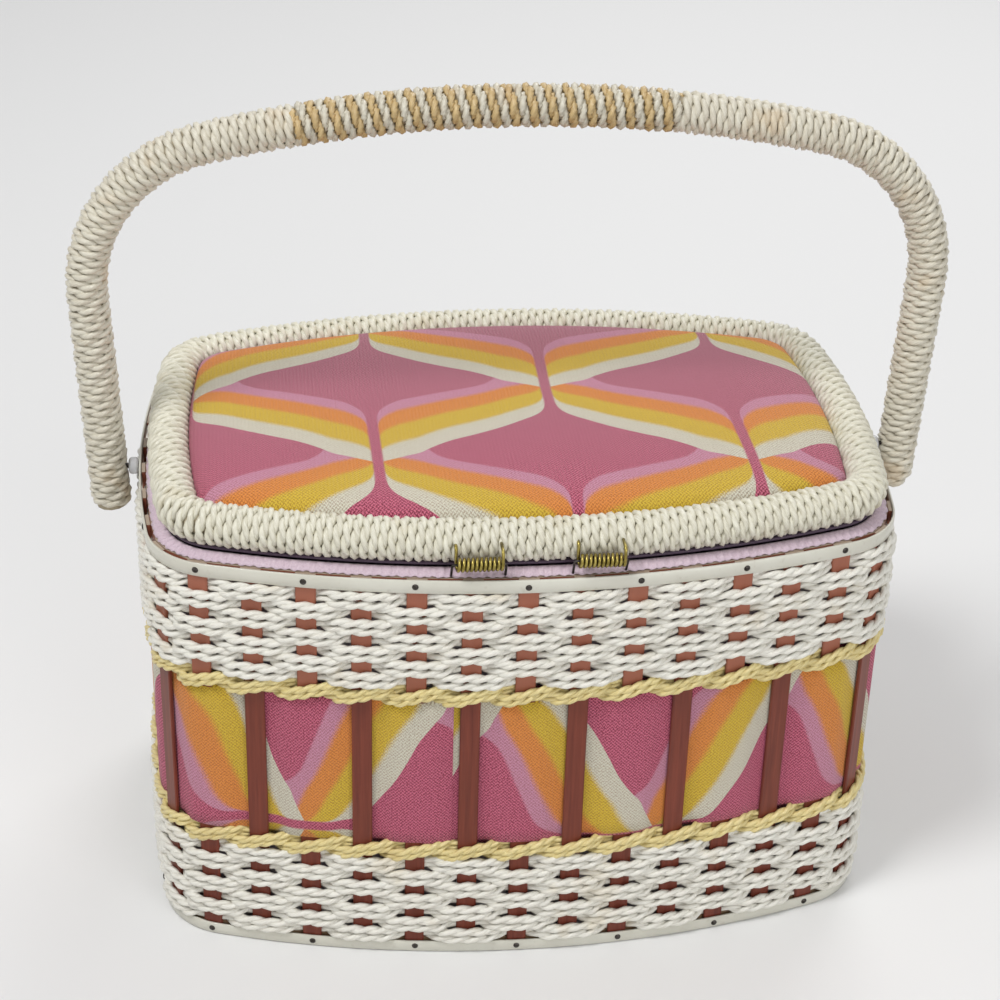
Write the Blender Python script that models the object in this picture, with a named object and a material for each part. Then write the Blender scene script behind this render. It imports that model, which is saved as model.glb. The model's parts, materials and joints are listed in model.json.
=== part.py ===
"""Woven sewing basket with a padded lid on spring hinges and a swinging wound handle.

Metres, +Z up. The origin is the middle of the underside, the hinge side faces -Y,
and the handle stands in the plane y = 0. Places round the body are given as a distance
along the wall from the middle of the hinge side and an inset, inwards from the wall's
outer line.
"""

import math

import bmesh
import bpy
from mathutils import Vector

# Clearances
GAP = 0.0003
WEAVE_GAP = 0.00025
SLIDE_GAP = 0.0004
CUT_OVERRUN = 0.002
JOIN_OVERLAP = 0.0006

# Body outline, at the outer face of the bindings
BODY_LENGTH = 0.298
BODY_DEPTH = 0.204
BODY_HEIGHT = 0.177
LONG_SIDE_RADIUS = 0.405
END_RADIUS = 0.430
CORNER_RADIUS = 0.031

# Base, bindings and rim hoop
BASE_THICKNESS = 0.0055
BINDING_THICKNESS = 0.0008
TOP_BINDING_HEIGHT = 0.0056
BOTTOM_BINDING_HEIGHT = 0.0050
HOOP_THICKNESS = 0.0036
HOOP_HEIGHT = 0.0056
HOOP_DROP = 0.0005

# Staves: every second one is nailed to the hoop, the others stand outside the cloth band
STAVE_PAIRS = 21
STAVE_WIDTH = 0.0077
STAVE_THICKNESS = 0.0014
STAVE_CHAMFER = 0.0004
STAVE_SHIFT = -0.0039

# Weaving: rows of white cord, twined yellow cord and a cloth band
WHITE_ROWS = 7
ROW_HEIGHT = 0.00565
ROW_DEPTH = 0.0024
CLIMB_STAVES = 6
TWINE_STRAND_HEIGHT = 0.0036
TWINE_RISE = 0.0020
BAND_THICKNESS = 0.0008

# Lining
LINING_THICKNESS = 0.0015
RUFFLE_THICKNESS = 0.0008
RUFFLE_RISE = 0.0006
RUFFLE_EDGE_INSET = 0.0051

# Lid
LID_INSET = 0.0038
RIM_WIDTH = 0.0168
RIM_HEIGHT = 0.0162
LID_BOARD_THICKNESS = 0.0028
LID_LINING_THICKNESS = 0.0012
LID_LINING_INSET = 0.0085
PAD_HEIGHT = 0.0095
PAD_TUCK = 0.0011
PAD_EDGE_HEIGHT = 0.0020
PAD_SHOULDER = 0.0060
PAD_RING_SHARES = ((1.0, 0.62), (0.82, 0.84), (0.55, 0.97))

# Spring hinges
HINGE_SPACING = 0.0452
HINGE_RISE = 0.0070
HINGE_CLEARANCE = 0.0004
COIL_TURNS = 9.5
COIL_WIRE_RADIUS = 0.00065
COIL_RADIUS = 0.00180
COIL_PITCH = 0.00178
COIL_LEG_RISE = 0.0060
COIL_LEG_BEND = 0.0014
COIL_LEG_DEPTH = 0.0020
STAPLE_WIRE_RADIUS = 0.0005
STAPLE_BORE_CLEARANCE = 0.00015
STAPLE_LEG_DEPTH = 0.0040
STAPLE_FOOT_INSET = 0.0042
STAPLE_BEND = 0.0010

# Handle
HANDLE_RADIUS = 0.0080
HANDLE_RISE = 0.1492
LEG_DROP = 0.0175
LEG_LEAN = math.radians(2.5)
SHOULDER_RADIUS = 0.060
CROWN_RADIUS = 0.540
PIVOT_DROP = 0.0031
PIN_RADIUS = 0.0011
PIN_HEAD_RADIUS = 0.0035
PIN_HEAD_THICKNESS = 0.0012
BEAD_RADIUS = 0.0034
BEAD_LENGTH = 0.0039
BEAD_ROUNDING = 0.0010

# Winding of two cords round the middle of the handle
WINDING_TURNS = 20
WINDING_PITCH = 0.0073
WINDING_START = -0.0852
WINDING_CORD_RADIUS = 0.0016
WINDING_TUCK = 0.0052

# Counts of facets
CURL_POINTS = 8
HANDLE_SIDES = 10
RIM_SIDES = 8
ROUND_SIDES = 12
SIDE_STEPS = 5
END_STEPS = 3
CORNER_STEPS = 5

# Sizes worked out from those above
HALF_LENGTH = BODY_LENGTH / 2
HALF_DEPTH = BODY_DEPTH / 2
STAVES = 2 * STAVE_PAIRS
STAVE_OUTER = BINDING_THICKNESS + GAP
STAVE_MIDDLE = STAVE_OUTER + STAVE_THICKNESS / 2
STAVE_INNER = STAVE_OUTER + STAVE_THICKNESS
HOOP_OUTER = STAVE_INNER + GAP
HOOP_TOP = BODY_HEIGHT - HOOP_DROP
HOOP_BOTTOM = HOOP_TOP - HOOP_HEIGHT
ROW_PITCH = ROW_HEIGHT + WEAVE_GAP
ZONE_HEIGHT = WHITE_ROWS * ROW_PITCH
TWINE_HEIGHT = 2 * TWINE_RISE + TWINE_STRAND_HEIGHT
LOWER_ZONE = BASE_THICKNESS + GAP
LOWER_TWINE = LOWER_ZONE + ZONE_HEIGHT
UPPER_ZONE = HOOP_BOTTOM - GAP - ZONE_HEIGHT
UPPER_TWINE = UPPER_ZONE - GAP - TWINE_HEIGHT
RUFFLE_BOTTOM = HOOP_TOP + GAP
RUFFLE_TOP = RUFFLE_BOTTOM + RUFFLE_THICKNESS + RUFFLE_RISE
LID_BOTTOM = RUFFLE_TOP + SLIDE_GAP
RIM_MIDDLE = LID_BOTTOM + LID_LINING_THICKNESS + GAP + RIM_HEIGHT / 2
RIM_INSET = LID_INSET + RIM_WIDTH / 2
PANEL_INSET = LID_INSET + RIM_WIDTH + GAP
PAD_BOTTOM = RIM_MIDDLE - RIM_HEIGHT / 20
HINGE_HEIGHT = BODY_HEIGHT + HINGE_RISE
PIVOT_HEIGHT = BODY_HEIGHT - PIVOT_DROP
LEG_X = HALF_LENGTH + 2 * GAP + BEAD_LENGTH + HANDLE_RADIUS

# Colours
CREAM_CORD = (0.80, 0.76, 0.66)
YELLOW_CORD = (0.76, 0.60, 0.24)
TAN_CORD = (0.62, 0.43, 0.20)
STAVE_BROWN = (0.30, 0.12, 0.07)
HOOP_BROWN = (0.36, 0.22, 0.15)
BINDING_CREAM = (0.74, 0.73, 0.66)
CLOTH_PINK = (0.50, 0.12, 0.22)
LINING_LILAC = (0.62, 0.52, 0.62)
LINING_PURPLE = (0.16, 0.10, 0.17)
BOARD_BROWN = (0.28, 0.18, 0.10)
BRASS = (0.52, 0.38, 0.10)
STEEL = (0.12, 0.11, 0.11)
BEAD_WHITE = (0.85, 0.85, 0.84)


def clear_scene():
    for item in list(bpy.data.objects):
        bpy.data.objects.remove(item)


def material(name, colour, roughness, metallic=0.0):
    made = bpy.data.materials.new(name)
    made.use_nodes = True
    shader = made.node_tree.nodes["Principled BSDF"]
    shader.inputs["Base Color"].default_value = (*colour, 1.0)
    shader.inputs["Roughness"].default_value = roughness
    shader.inputs["Metallic"].default_value = metallic
    made.diffuse_color = (*colour, 1.0)
    return made


def add(name, data, finish=None, parent=None):
    """An object in the scene, with its material, held by an empty where it moves."""
    made = bpy.data.objects.new(name, data)
    bpy.context.scene.collection.objects.link(made)
    if finish:
        data.materials.clear()
        data.materials.append(finish)
    if parent:
        made.parent = parent
        made.matrix_parent_inverse = parent.matrix_world.inverted()
    return made


def pivot(name, place):
    """An empty on a joint's axis, for the pieces that turn about it."""
    made = bpy.data.objects.new(name, None)
    bpy.context.scene.collection.objects.link(made)
    made.location = place
    bpy.context.view_layer.update()
    return made


def hide(helper):
    helper.hide_render = True
    helper.display_type = "WIRE"
    return helper


def cut(piece, cutter):
    step = piece.modifiers.new("cut by " + cutter.name, "BOOLEAN")
    step.operation = "DIFFERENCE"
    step.object = cutter


def skin(name, rows, closed, smooth=True):
    """A mesh over rows of points, each row a closed loop. Closed rows meet end to end."""
    mesh = bpy.data.meshes.new(name)
    made = bmesh.new()
    loops = [[made.verts.new(point) for point in row] for row in rows]
    count = len(loops[0])
    pairs = list(zip(loops, loops[1:]))
    if closed:
        pairs.append((loops[-1], loops[0]))
    else:
        made.faces.new(loops[0])
        made.faces.new(loops[-1])
    for low, high in pairs:
        for i in range(count):
            j = (i + 1) % count
            made.faces.new((low[i], low[j], high[j], high[i]))
    bmesh.ops.recalc_face_normals(made, faces=made.faces)
    made.to_mesh(mesh)
    made.free()
    if smooth:
        mesh.shade_smooth()
        mesh.set_sharp_from_angle(angle=math.radians(50))
    return mesh


# The body's outline: two long bowed sides, two bowed ends and four round corners


def corner_middle():
    """The centre of the corner arc at +X, -Y, from the circles that it touches inside."""
    side = Vector((0, LONG_SIDE_RADIUS - HALF_DEPTH))
    end = Vector((HALF_LENGTH - END_RADIUS, 0))
    to_side = LONG_SIDE_RADIUS - CORNER_RADIUS
    to_end = END_RADIUS - CORNER_RADIUS
    between = end - side
    apart = between.length
    along = (to_side**2 - to_end**2 + apart**2) / (2 * apart)
    across = math.sqrt(to_side**2 - along**2)
    way = between / apart
    return side, end, side + way * along + Vector((-way.y, way.x)) * across


SIDE_MIDDLE, END_MIDDLE, CORNER_MIDDLE = corner_middle()
SIDE_TURN = math.atan2(*(CORNER_MIDDLE - SIDE_MIDDLE).yx) + math.pi / 2
END_TURN = -math.atan2(*(CORNER_MIDDLE - END_MIDDLE).yx)
CORNER_TURN = math.pi / 2 - SIDE_TURN - END_TURN
SIDE_RUN = LONG_SIDE_RADIUS * SIDE_TURN
CORNER_RUN = CORNER_RADIUS * CORNER_TURN
END_RUN = END_RADIUS * END_TURN
QUARTER_RUN = SIDE_RUN + CORNER_RUN + END_RUN
WALL_RUN = 4 * QUARTER_RUN
STAVE_PITCH = WALL_RUN / STAVES


def quarter_place(run):
    """A point of the outline between the front middle and the right middle, and its normal."""
    if run < SIDE_RUN:
        centre, radius, turn = SIDE_MIDDLE, LONG_SIDE_RADIUS, run / LONG_SIDE_RADIUS
    elif run < SIDE_RUN + CORNER_RUN:
        centre, radius = CORNER_MIDDLE, CORNER_RADIUS
        turn = SIDE_TURN + (run - SIDE_RUN) / CORNER_RADIUS
    else:
        centre, radius = END_MIDDLE, END_RADIUS
        turn = math.pi / 2 - (QUARTER_RUN - run) / END_RADIUS
    normal = Vector((math.sin(turn), -math.cos(turn)))
    return centre + normal * radius, normal


def fold(run):
    """The same place in the first quarter, and the signs that carry it back."""
    run %= WALL_RUN
    quarter = int(run // QUARTER_RUN)
    if quarter == 0:
        return run, 1, 1
    if quarter == 1:
        return 2 * QUARTER_RUN - run, 1, -1
    if quarter == 2:
        return run - 2 * QUARTER_RUN, -1, -1
    return WALL_RUN - run, -1, 1


def wall_place(run):
    """Point, outward normal and forward tangent of the wall's outer line."""
    first, flip_x, flip_y = fold(run)
    point, normal = quarter_place(first)
    point = Vector((point.x * flip_x, point.y * flip_y))
    normal = Vector((normal.x * flip_x, normal.y * flip_y))
    return point, normal, Vector((-normal.y, normal.x))


def side_y(x):
    """The wall's outer line on the hinge side, above a place along X."""
    return SIDE_MIDDLE.y - math.sqrt(LONG_SIDE_RADIUS**2 - x**2)


def stave_run(number):
    return STAVE_SHIFT + number * STAVE_PITCH


def near_corner(run):
    first = fold(run)[0]
    return abs(first - SIDE_RUN - CORNER_RUN / 2) < (CORNER_RUN + STAVE_PITCH) / 2


class Station:
    """A place on the wall, square to one stave: at its middle, or at one of its edges."""

    def __init__(self, stave, edge):
        self.stave = stave % STAVES
        self.edge = edge
        self.point, self.normal, self.tangent = wall_place(stave_run(stave))

    def at(self, inset, height):
        flat = self.point + self.tangent * self.edge * STAVE_WIDTH / 2 - self.normal * inset
        return Vector((flat.x, flat.y, height))


def stations(first=0, count=STAVES, edges_everywhere=False):
    """One station for each stave on a side, two for each stave near a corner."""
    made = []
    for number in range(first, first + count):
        if edges_everywhere or near_corner(stave_run(number)):
            made += [Station(number, -1), Station(number, 1)]
        else:
            made.append(Station(number, 0))
    return made


WALL_STATIONS = stations()


def wall_loop(inset, height):
    return [station.at(inset, height) for station in WALL_STATIONS]


def lid_runs():
    """Places for the lid's outline, evenly spaced on each arc."""
    quarter = [SIDE_RUN * i / SIDE_STEPS for i in range(1, SIDE_STEPS, 2)]
    quarter += [SIDE_RUN + CORNER_RUN * i / CORNER_STEPS for i in range(CORNER_STEPS + 1)]
    quarter.append(QUARTER_RUN - END_RUN / END_STEPS)
    runs = quarter + [2 * QUARTER_RUN - run for run in reversed(quarter)]
    return runs + [2 * QUARTER_RUN + run for run in runs]


def lid_loop(inset, height, share=1.0):
    made = []
    for run in lid_runs():
        point, normal, _ = wall_place(run)
        flat = (point - normal * inset) * share
        made.append(Vector((flat.x, flat.y, height)))
    return made


def wall_ring(name, outer, inner, low, high):
    corners = ((outer, low), (outer, high), (inner, high), (inner, low))
    return skin(name, [wall_loop(inset, height) for inset, height in corners], True, False)


# Weaving


def clearance_offset(depth):
    """How far a strand's middle stands off a stave's middle to pass its face."""
    return STAVE_THICKNESS / 2 + WEAVE_GAP + depth / 2


def strand_inset(station, outside, depth):
    """The strand's inset at a station. A single station has to reach further."""
    reach = clearance_offset(depth)
    if station.edge == 0:
        reach /= 1 - STAVE_WIDTH / STAVE_PITCH
    return STAVE_MIDDLE - reach if outside else STAVE_MIDDLE + reach


def is_outer_stave(number):
    return number % 2 == 1


def ridge(station, inset, height, depth, width):
    """A strand's section: flat on the inner side, with its ridge outwards."""
    return [
        station.at(inset + depth / 2, height - width / 2),
        station.at(inset - depth / 2, height),
        station.at(inset + depth / 2, height + width / 2),
    ]


def weaver(name, first_row, row_count, over_outer, bottom):
    """One cord that goes round every second row, and climbs past the other cord behind."""
    start = STAVES // 2 + CLIMB_STAVES // 2
    level_staves = STAVES - CLIMB_STAVES
    rows = []
    height = bottom + (first_row + 0.5) * ROW_PITCH
    for turn in range(row_count):
        last = turn == row_count - 1
        run = level_staves if last else STAVES
        for station in stations(start, run):
            passed = (station.stave - start) % STAVES
            climb = max(0, passed - level_staves + 1) / CLIMB_STAVES
            level = height + 2 * ROW_PITCH * (turn + climb)
            outside = is_outer_stave(station.stave) == over_outer
            inset = strand_inset(station, outside, ROW_DEPTH)
            rows.append(ridge(station, inset, level, ROW_DEPTH, ROW_HEIGHT))
    return skin(name, rows, False)


def twined_strand(name, over_outer, bottom):
    """One of two yellow cords, which change places between the staves."""
    middle = bottom + TWINE_HEIGHT / 2
    rows = []
    for station in stations(edges_everywhere=True):
        outside = is_outer_stave(station.stave) == over_outer
        inset = strand_inset(station, outside, ROW_DEPTH)
        rise = station.edge * TWINE_RISE if outside else -station.edge * TWINE_RISE
        rows.append(ridge(station, inset, middle + rise, ROW_DEPTH, TWINE_STRAND_HEIGHT))
    return skin(name, rows, True)


def cloth_band(name, low, high):
    """The cloth band, behind each outer stave and in front of each nailed one."""
    rows = []
    for station in WALL_STATIONS:
        inset = strand_inset(station, not is_outer_stave(station.stave), BAND_THICKNESS)
        outer = inset - BAND_THICKNESS / 2
        inner = inset + BAND_THICKNESS / 2
        corners = ((outer, low), (outer, high), (inner, high), (inner, low))
        rows.append([station.at(place, height) for place, height in corners])
    return skin(name, rows, True)


def stave_mesh(name):
    """A stave standing at the local origin, its outer face towards +X, chamfered in front."""
    half = STAVE_WIDTH / 2
    front = STAVE_THICKNESS / 2
    section = (
        (-front, -half),
        (front - STAVE_CHAMFER, -half),
        (front, STAVE_CHAMFER - half),
        (front, half - STAVE_CHAMFER),
        (front - STAVE_CHAMFER, half),
        (-front, half),
    )
    rows = [[Vector((x, y, z)) for x, y in section] for z in (GAP, HOOP_TOP)]
    return skin(name, rows, False, False)


def nail_block_mesh(name):
    """The seat that carries a nailed stave on the hoop."""
    half = STAVE_WIDTH / 2 - STAVE_CHAMFER
    outer = STAVE_THICKNESS / 2 - STAVE_CHAMFER
    inner = -STAVE_THICKNESS / 2 - GAP - JOIN_OVERLAP
    section = ((inner, -half), (outer, -half), (outer, half), (inner, half))
    low, high = HOOP_BOTTOM + HOOP_DROP, HOOP_TOP - HOOP_DROP
    rows = [[Vector((x, y, z)) for x, y in section] for z in (low, high)]
    return skin(name, rows, False, False)


def place_on_wall(item, number):
    point, normal, _ = wall_place(stave_run(number))
    middle = point - normal * STAVE_MIDDLE
    item.location = (middle.x, middle.y, 0)
    item.rotation_euler.z = math.atan2(normal.y, normal.x)
    return item


# Straight bars, tubes and turned pieces


def turned(name, profile, closed, sides=ROUND_SIDES):
    """A piece turned about the local X axis, from points (x, radius)."""
    rows = []
    for x, radius in profile:
        angles = [2 * math.pi * i / sides for i in range(sides)]
        rows.append([Vector((x, radius * math.cos(a), radius * math.sin(a))) for a in angles])
    return skin(name, rows, closed)


def bar_cutter(name, start, end, radius):
    """A round bar between two points, for a hole."""
    start, end = Vector(start), Vector(end)
    mesh = turned(name, ((0, radius), ((end - start).length, radius)), False)
    made = hide(add(name, mesh))
    made.location = start
    made.rotation_mode = "QUATERNION"
    made.rotation_quaternion = (end - start).to_track_quat("X", "Z")
    return made


def wire(name, points, radius, resolution):
    """A tube along points, with filled ends."""
    data = bpy.data.curves.new(name, "CURVE")
    data.dimensions = "3D"
    data.bevel_depth = radius
    data.bevel_resolution = resolution
    data.use_fill_caps = True
    spline = data.splines.new("POLY")
    spline.points.add(len(points) - 1)
    for place, point in zip(spline.points, points):
        place.co = (*point, 1)
    spline.use_smooth = True
    return data


def bend(before, corner, after, radius, steps=3):
    """Points round a right-angled corner."""
    to_start = (Vector(before) - Vector(corner)).normalized()
    to_end = (Vector(after) - Vector(corner)).normalized()
    centre = Vector(corner) + (to_start + to_end) * radius
    made = []
    for i in range(steps + 1):
        turn = math.pi / 2 * i / steps
        made.append(centre - to_end * radius * math.cos(turn) - to_start * radius * math.sin(turn))
    return made


def least_self_gap(points, radius, loop_points):
    """The least gap of a tube to its own other turns, measured between its points."""
    least = math.inf
    apart = loop_points // 2 + 1
    for i, point in enumerate(points):
        for other in points[i + apart :]:
            least = min(least, (point - other).length)
    return least - 2 * radius


# Body


def make_base():
    brown = material("base board", BOARD_BROWN, 0.7)
    rows = [wall_loop(HOOP_OUTER, 0), wall_loop(HOOP_OUTER, BASE_THICKNESS)]
    add("base_board", skin("base board", rows, False, False), brown)
    cream = material("bottom binding", BINDING_CREAM, 0.45)
    low = GAP
    mesh = wall_ring("bottom binding", 0, BINDING_THICKNESS, low, low + BOTTOM_BINDING_HEIGHT)
    add("bottom_binding", mesh, cream)


def make_staves():
    """The outer staves, each by itself, and the hoop with the staves nailed to it."""
    brown = material("stave", STAVE_BROWN, 0.55)
    mesh = stave_mesh("stave")
    block = nail_block_mesh("nail block")
    nailed = bpy.data.collections.new("nailed staves")
    for number in range(STAVES):
        if is_outer_stave(number):
            name = f"outer_stave_{number // 2 + 1:02d}"
            place_on_wall(add(name, mesh, brown), number)
            continue
        for shape in (mesh, block):
            helper = hide(bpy.data.objects.new(f"nailed {shape.name} {number}", shape))
            nailed.objects.link(place_on_wall(helper, number))
    inner = HOOP_OUTER + HOOP_THICKNESS
    ring = wall_ring("rim hoop", HOOP_OUTER, inner, HOOP_BOTTOM, HOOP_TOP)
    hoop = add("rim_hoop_with_nailed_staves", ring, material("rim hoop", HOOP_BROWN, 0.6))
    join = hoop.modifiers.new("nailed staves", "BOOLEAN")
    join.operation = "UNION"
    join.operand_type = "COLLECTION"
    join.collection = nailed
    return hoop


def make_weaving():
    white = material("white cord", CREAM_CORD, 0.6)
    odd_rows = (WHITE_ROWS + 1) // 2
    for zone, bottom in (("lower", LOWER_ZONE), ("upper", UPPER_ZONE)):
        for letter, first, count in (("a", 0, odd_rows), ("b", 1, WHITE_ROWS - odd_rows)):
            name = f"{zone}_white_weaver_{letter}"
            add(name, weaver(name, first, count, letter == "a", bottom), white)
    yellow = material("yellow cord", YELLOW_CORD, 0.6)
    for zone, bottom in (("lower", LOWER_TWINE), ("upper", UPPER_TWINE)):
        for letter in "ab":
            name = f"{zone}_yellow_twine_{letter}"
            add(name, twined_strand(name, letter == "a", bottom), yellow)
    pink = material("band cloth", CLOTH_PINK, 0.8)
    low, high = LOWER_TWINE + TWINE_HEIGHT + GAP, UPPER_TWINE - GAP
    add("cloth_band", cloth_band("cloth band", low, high), pink)


def make_top_binding():
    cream = material("top binding", BINDING_CREAM, 0.45)
    low = BODY_HEIGHT - TOP_BINDING_HEIGHT
    mesh = wall_ring("top binding", 0, BINDING_THICKNESS, low, BODY_HEIGHT)
    return add("top_binding", mesh, cream)


def make_lining():
    """The lining's wall and floor, and the gathered trim that covers the hoop's inner edge."""
    lilac = material("lining", LINING_LILAC, 0.75)
    outer = HOOP_OUTER + HOOP_THICKNESS + GAP
    inner = outer + LINING_THICKNESS
    low = BASE_THICKNESS + GAP
    profile = (
        (outer, low),
        (outer, HOOP_TOP),
        (inner, HOOP_TOP),
        (inner, low + LINING_THICKNESS),
    )
    rows = [wall_loop(inset, height) for inset, height in profile]
    tub = add("lining_tub", skin("lining tub", rows, False, False), lilac)
    raised = RUFFLE_BOTTOM + RUFFLE_THICKNESS
    profile = (
        (RUFFLE_EDGE_INSET, RUFFLE_BOTTOM),
        (RUFFLE_EDGE_INSET, raised),
        (inner, RUFFLE_TOP),
        (inner, RUFFLE_BOTTOM),
    )
    rows = [wall_loop(inset, height) for inset, height in profile]
    trim = material("lining trim", LINING_LILAC, 0.7)
    add("lining_ruffle", skin("lining ruffle", rows, True), trim)
    return tub, inner


# Lid


def make_lid(hinge):
    """The wound rim, the board and crowned pad inside it, and the lining under them."""
    middle = RIM_MIDDLE
    angles = [2 * math.pi * i / RIM_SIDES for i in range(RIM_SIDES)]
    rows = []
    for angle in angles:
        inset = RIM_INSET + math.cos(angle) * RIM_WIDTH / 2
        rows.append(lid_loop(inset, middle + math.sin(angle) * RIM_HEIGHT / 2))
    cream = material("lid rim cord", CREAM_CORD, 0.6)
    rim = add("lid_rim", skin("lid rim", rows, True), cream, hinge)
    top = PAD_BOTTOM - GAP
    rows = [lid_loop(PANEL_INSET, top - LID_BOARD_THICKNESS), lid_loop(PANEL_INSET, top)]
    brown = material("lid board", BOARD_BROWN, 0.7)
    add("lid_board", skin("lid board", rows, False, False), brown, hinge)
    rows = [
        lid_loop(PANEL_INSET + PAD_TUCK, PAD_BOTTOM),
        lid_loop(PANEL_INSET, PAD_BOTTOM + PAD_EDGE_HEIGHT),
        lid_loop(PANEL_INSET + PAD_TUCK / 2, PAD_BOTTOM + 2 * PAD_EDGE_HEIGHT),
    ]
    for share, height_share in PAD_RING_SHARES:
        height = PAD_BOTTOM + PAD_HEIGHT * height_share
        rows.append(lid_loop(PANEL_INSET + PAD_SHOULDER, height, share))
    add("lid_pad", skin("lid pad", rows, False), material("lid cloth", CLOTH_PINK, 0.8), hinge)
    low, high = LID_BOTTOM, LID_BOTTOM + LID_LINING_THICKNESS
    rows = [lid_loop(LID_LINING_INSET, low), lid_loop(LID_LINING_INSET, high)]
    purple = material("lid lining", LINING_PURPLE, 0.7)
    add("lid_lining", skin("lid lining", rows, False, False), purple, hinge)
    return rim


def hinge_y():
    """The hinge axis: as close to the rim as both coils can lie."""
    nearest_x = (HINGE_SPACING - COIL_TURNS * COIL_PITCH) / 2
    rim_front = side_y(nearest_x) + LID_INSET
    return rim_front - COIL_RADIUS - COIL_WIRE_RADIUS - HINGE_CLEARANCE


def coil_points(half_length):
    """A spring along local X, and its two ends bent up and into the rim."""
    count = round(COIL_TURNS * CURL_POINTS)
    helix = []
    for i in range(count + 1):
        turn = math.pi + 2 * math.pi * COIL_TURNS * i / count
        x = half_length * (2 * i / count - 1)
        helix.append(Vector((x, -COIL_RADIUS * math.cos(turn), COIL_RADIUS * math.sin(turn))))
    inwards = -hinge_y() + side_y(HINGE_SPACING / 2) + LID_INSET + COIL_LEG_DEPTH
    first, last = helix[0], helix[-1]
    ends = []
    for foot in (first, last):
        top = Vector((foot.x, foot.y, COIL_LEG_RISE))
        tip = Vector((foot.x, inwards, COIL_LEG_RISE))
        ends.append(bend(foot, top, tip, COIL_LEG_BEND) + [tip])
    return list(reversed(ends[0])) + helix + ends[1], helix


def make_hinges(hinge, hoop, rim):
    """A brass spring on the lid and a steel staple through it, on each side."""
    brass = material("brass spring", BRASS, 0.35, 1.0)
    steel = material("staple steel", STEEL, 0.4, 1.0)
    half = COIL_TURNS * COIL_PITCH / 2
    points, helix = coil_points(half)
    gap = least_self_gap(helix, COIL_WIRE_RADIUS, CURL_POINTS)
    print(f"hinge coil: least gap to itself {gap * 1000:.2f} mm")
    axis = Vector((0, hinge_y(), HINGE_HEIGHT))
    span = half + COIL_WIRE_RADIUS + HINGE_CLEARANCE + STAPLE_WIRE_RADIUS
    for side, name in ((-1, "left"), (1, "right")):
        middle = axis + Vector((side * HINGE_SPACING / 2, 0, 0))
        coil_name = f"hinge_spring_{name}"
        coil = add(coil_name, wire(coil_name, points, COIL_WIRE_RADIUS, 1), brass)
        coil.location = middle
        bpy.context.view_layer.update()
        coil.parent = hinge
        coil.matrix_parent_inverse = hinge.matrix_world.inverted()
        for end in (points[0], points[-1]):
            tip = middle + end
            mouth = tip - Vector((0, COIL_LEG_DEPTH + 2 * CUT_OVERRUN, 0))
            bore = COIL_WIRE_RADIUS + GAP
            bottom = tip + Vector((0, GAP, 0))
            cut(rim, bar_cutter(f"socket {name} {end.x:.4f}", mouth, bottom, bore))
        make_staple(name, middle, span, steel, hoop)


def make_staple(name, middle, span, finish, hoop):
    """A bent wire: a bar through the spring, and two legs that lean back into the hoop."""
    legs = []
    for way in (-1, 1):
        x = middle.x + way * span
        top = Vector((x, middle.y, middle.z))
        mouth = Vector((x, side_y(x) + STAPLE_FOOT_INSET, HOOP_TOP))
        lean = (mouth - top).normalized()
        foot = mouth + lean * STAPLE_LEG_DEPTH
        radius = STAPLE_WIRE_RADIUS + STAPLE_BORE_CLEARANCE
        start = mouth - lean * CUT_OVERRUN
        end = foot + lean * STAPLE_BORE_CLEARANCE
        cut(hoop, bar_cutter(f"staple bore {name} {way}", start, end, radius))
        legs.append((foot, top))
    (left_foot, left_top), (right_foot, right_top) = legs
    points = [left_foot]
    points += bend(left_foot, left_top, right_top, STAPLE_BEND)
    points += bend(left_top, right_top, right_foot, STAPLE_BEND)
    points.append(right_foot)
    made = f"hinge_staple_{name}"
    add(made, wire(made, points, STAPLE_WIRE_RADIUS, 1), finish)


# Handle


def handle_arcs():
    """Centres of the left-hand shoulder and of the crown, and where the leg ends."""
    foot = Vector((LEG_X, PIVOT_HEIGHT))
    up = Vector((math.sin(LEG_LEAN), math.cos(LEG_LEAN)))
    inwards = Vector((-up.y, up.x))
    crown = Vector((0, PIVOT_HEIGHT + HANDLE_RISE - CROWN_RADIUS))
    start = foot + inwards * SHOULDER_RADIUS - crown
    reach = CROWN_RADIUS - SHOULDER_RADIUS
    half = start.dot(up)
    length = -half + math.sqrt(half**2 - start.length_squared + reach**2)
    return foot + up * length + inwards * SHOULDER_RADIUS, crown, length


def half_handle():
    """The right half of the centre line: (point in x and z, forward way), from the top down."""
    shoulder, crown, length = handle_arcs()
    reach = shoulder - crown
    crown_turn = math.atan2(reach.x, reach.y)
    winding_end = abs(WINDING_START) / CROWN_RADIUS
    made = []
    for i in range(1, 3):
        turn = winding_end + (crown_turn - winding_end) * i / 3
        made.append((crown + CROWN_RADIUS * Vector((math.sin(turn), math.cos(turn))), turn))
    last = math.pi / 2 + LEG_LEAN
    for i in range(8):
        turn = crown_turn + (last - crown_turn) * i / 7
        made.append((shoulder + SHOULDER_RADIUS * Vector((math.sin(turn), math.cos(turn))), turn))
    down = Vector((-math.sin(LEG_LEAN), -math.cos(LEG_LEAN)))
    made.append((Vector((LEG_X, PIVOT_HEIGHT)) + down * LEG_DROP, last))
    return made


def handle_ring(place, turn, radius):
    """A ring of points square to the centre line, where it runs at this angle from +X."""
    out = Vector((math.sin(turn), 0, math.cos(turn)))
    middle = Vector((place.x, 0, place.y))
    ring = []
    for i in range(HANDLE_SIDES):
        angle = 2 * math.pi * i / HANDLE_SIDES
        ring.append(middle + radius * (out * math.cos(angle) + Vector((0, math.sin(angle), 0))))
    return ring


def crown_place(run):
    """A point of the crown arc, at a distance along it from the middle, and its angle."""
    crown = handle_arcs()[1]
    turn = run / CROWN_RADIUS
    return crown + CROWN_RADIUS * Vector((math.sin(turn), math.cos(turn))), turn


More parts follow.
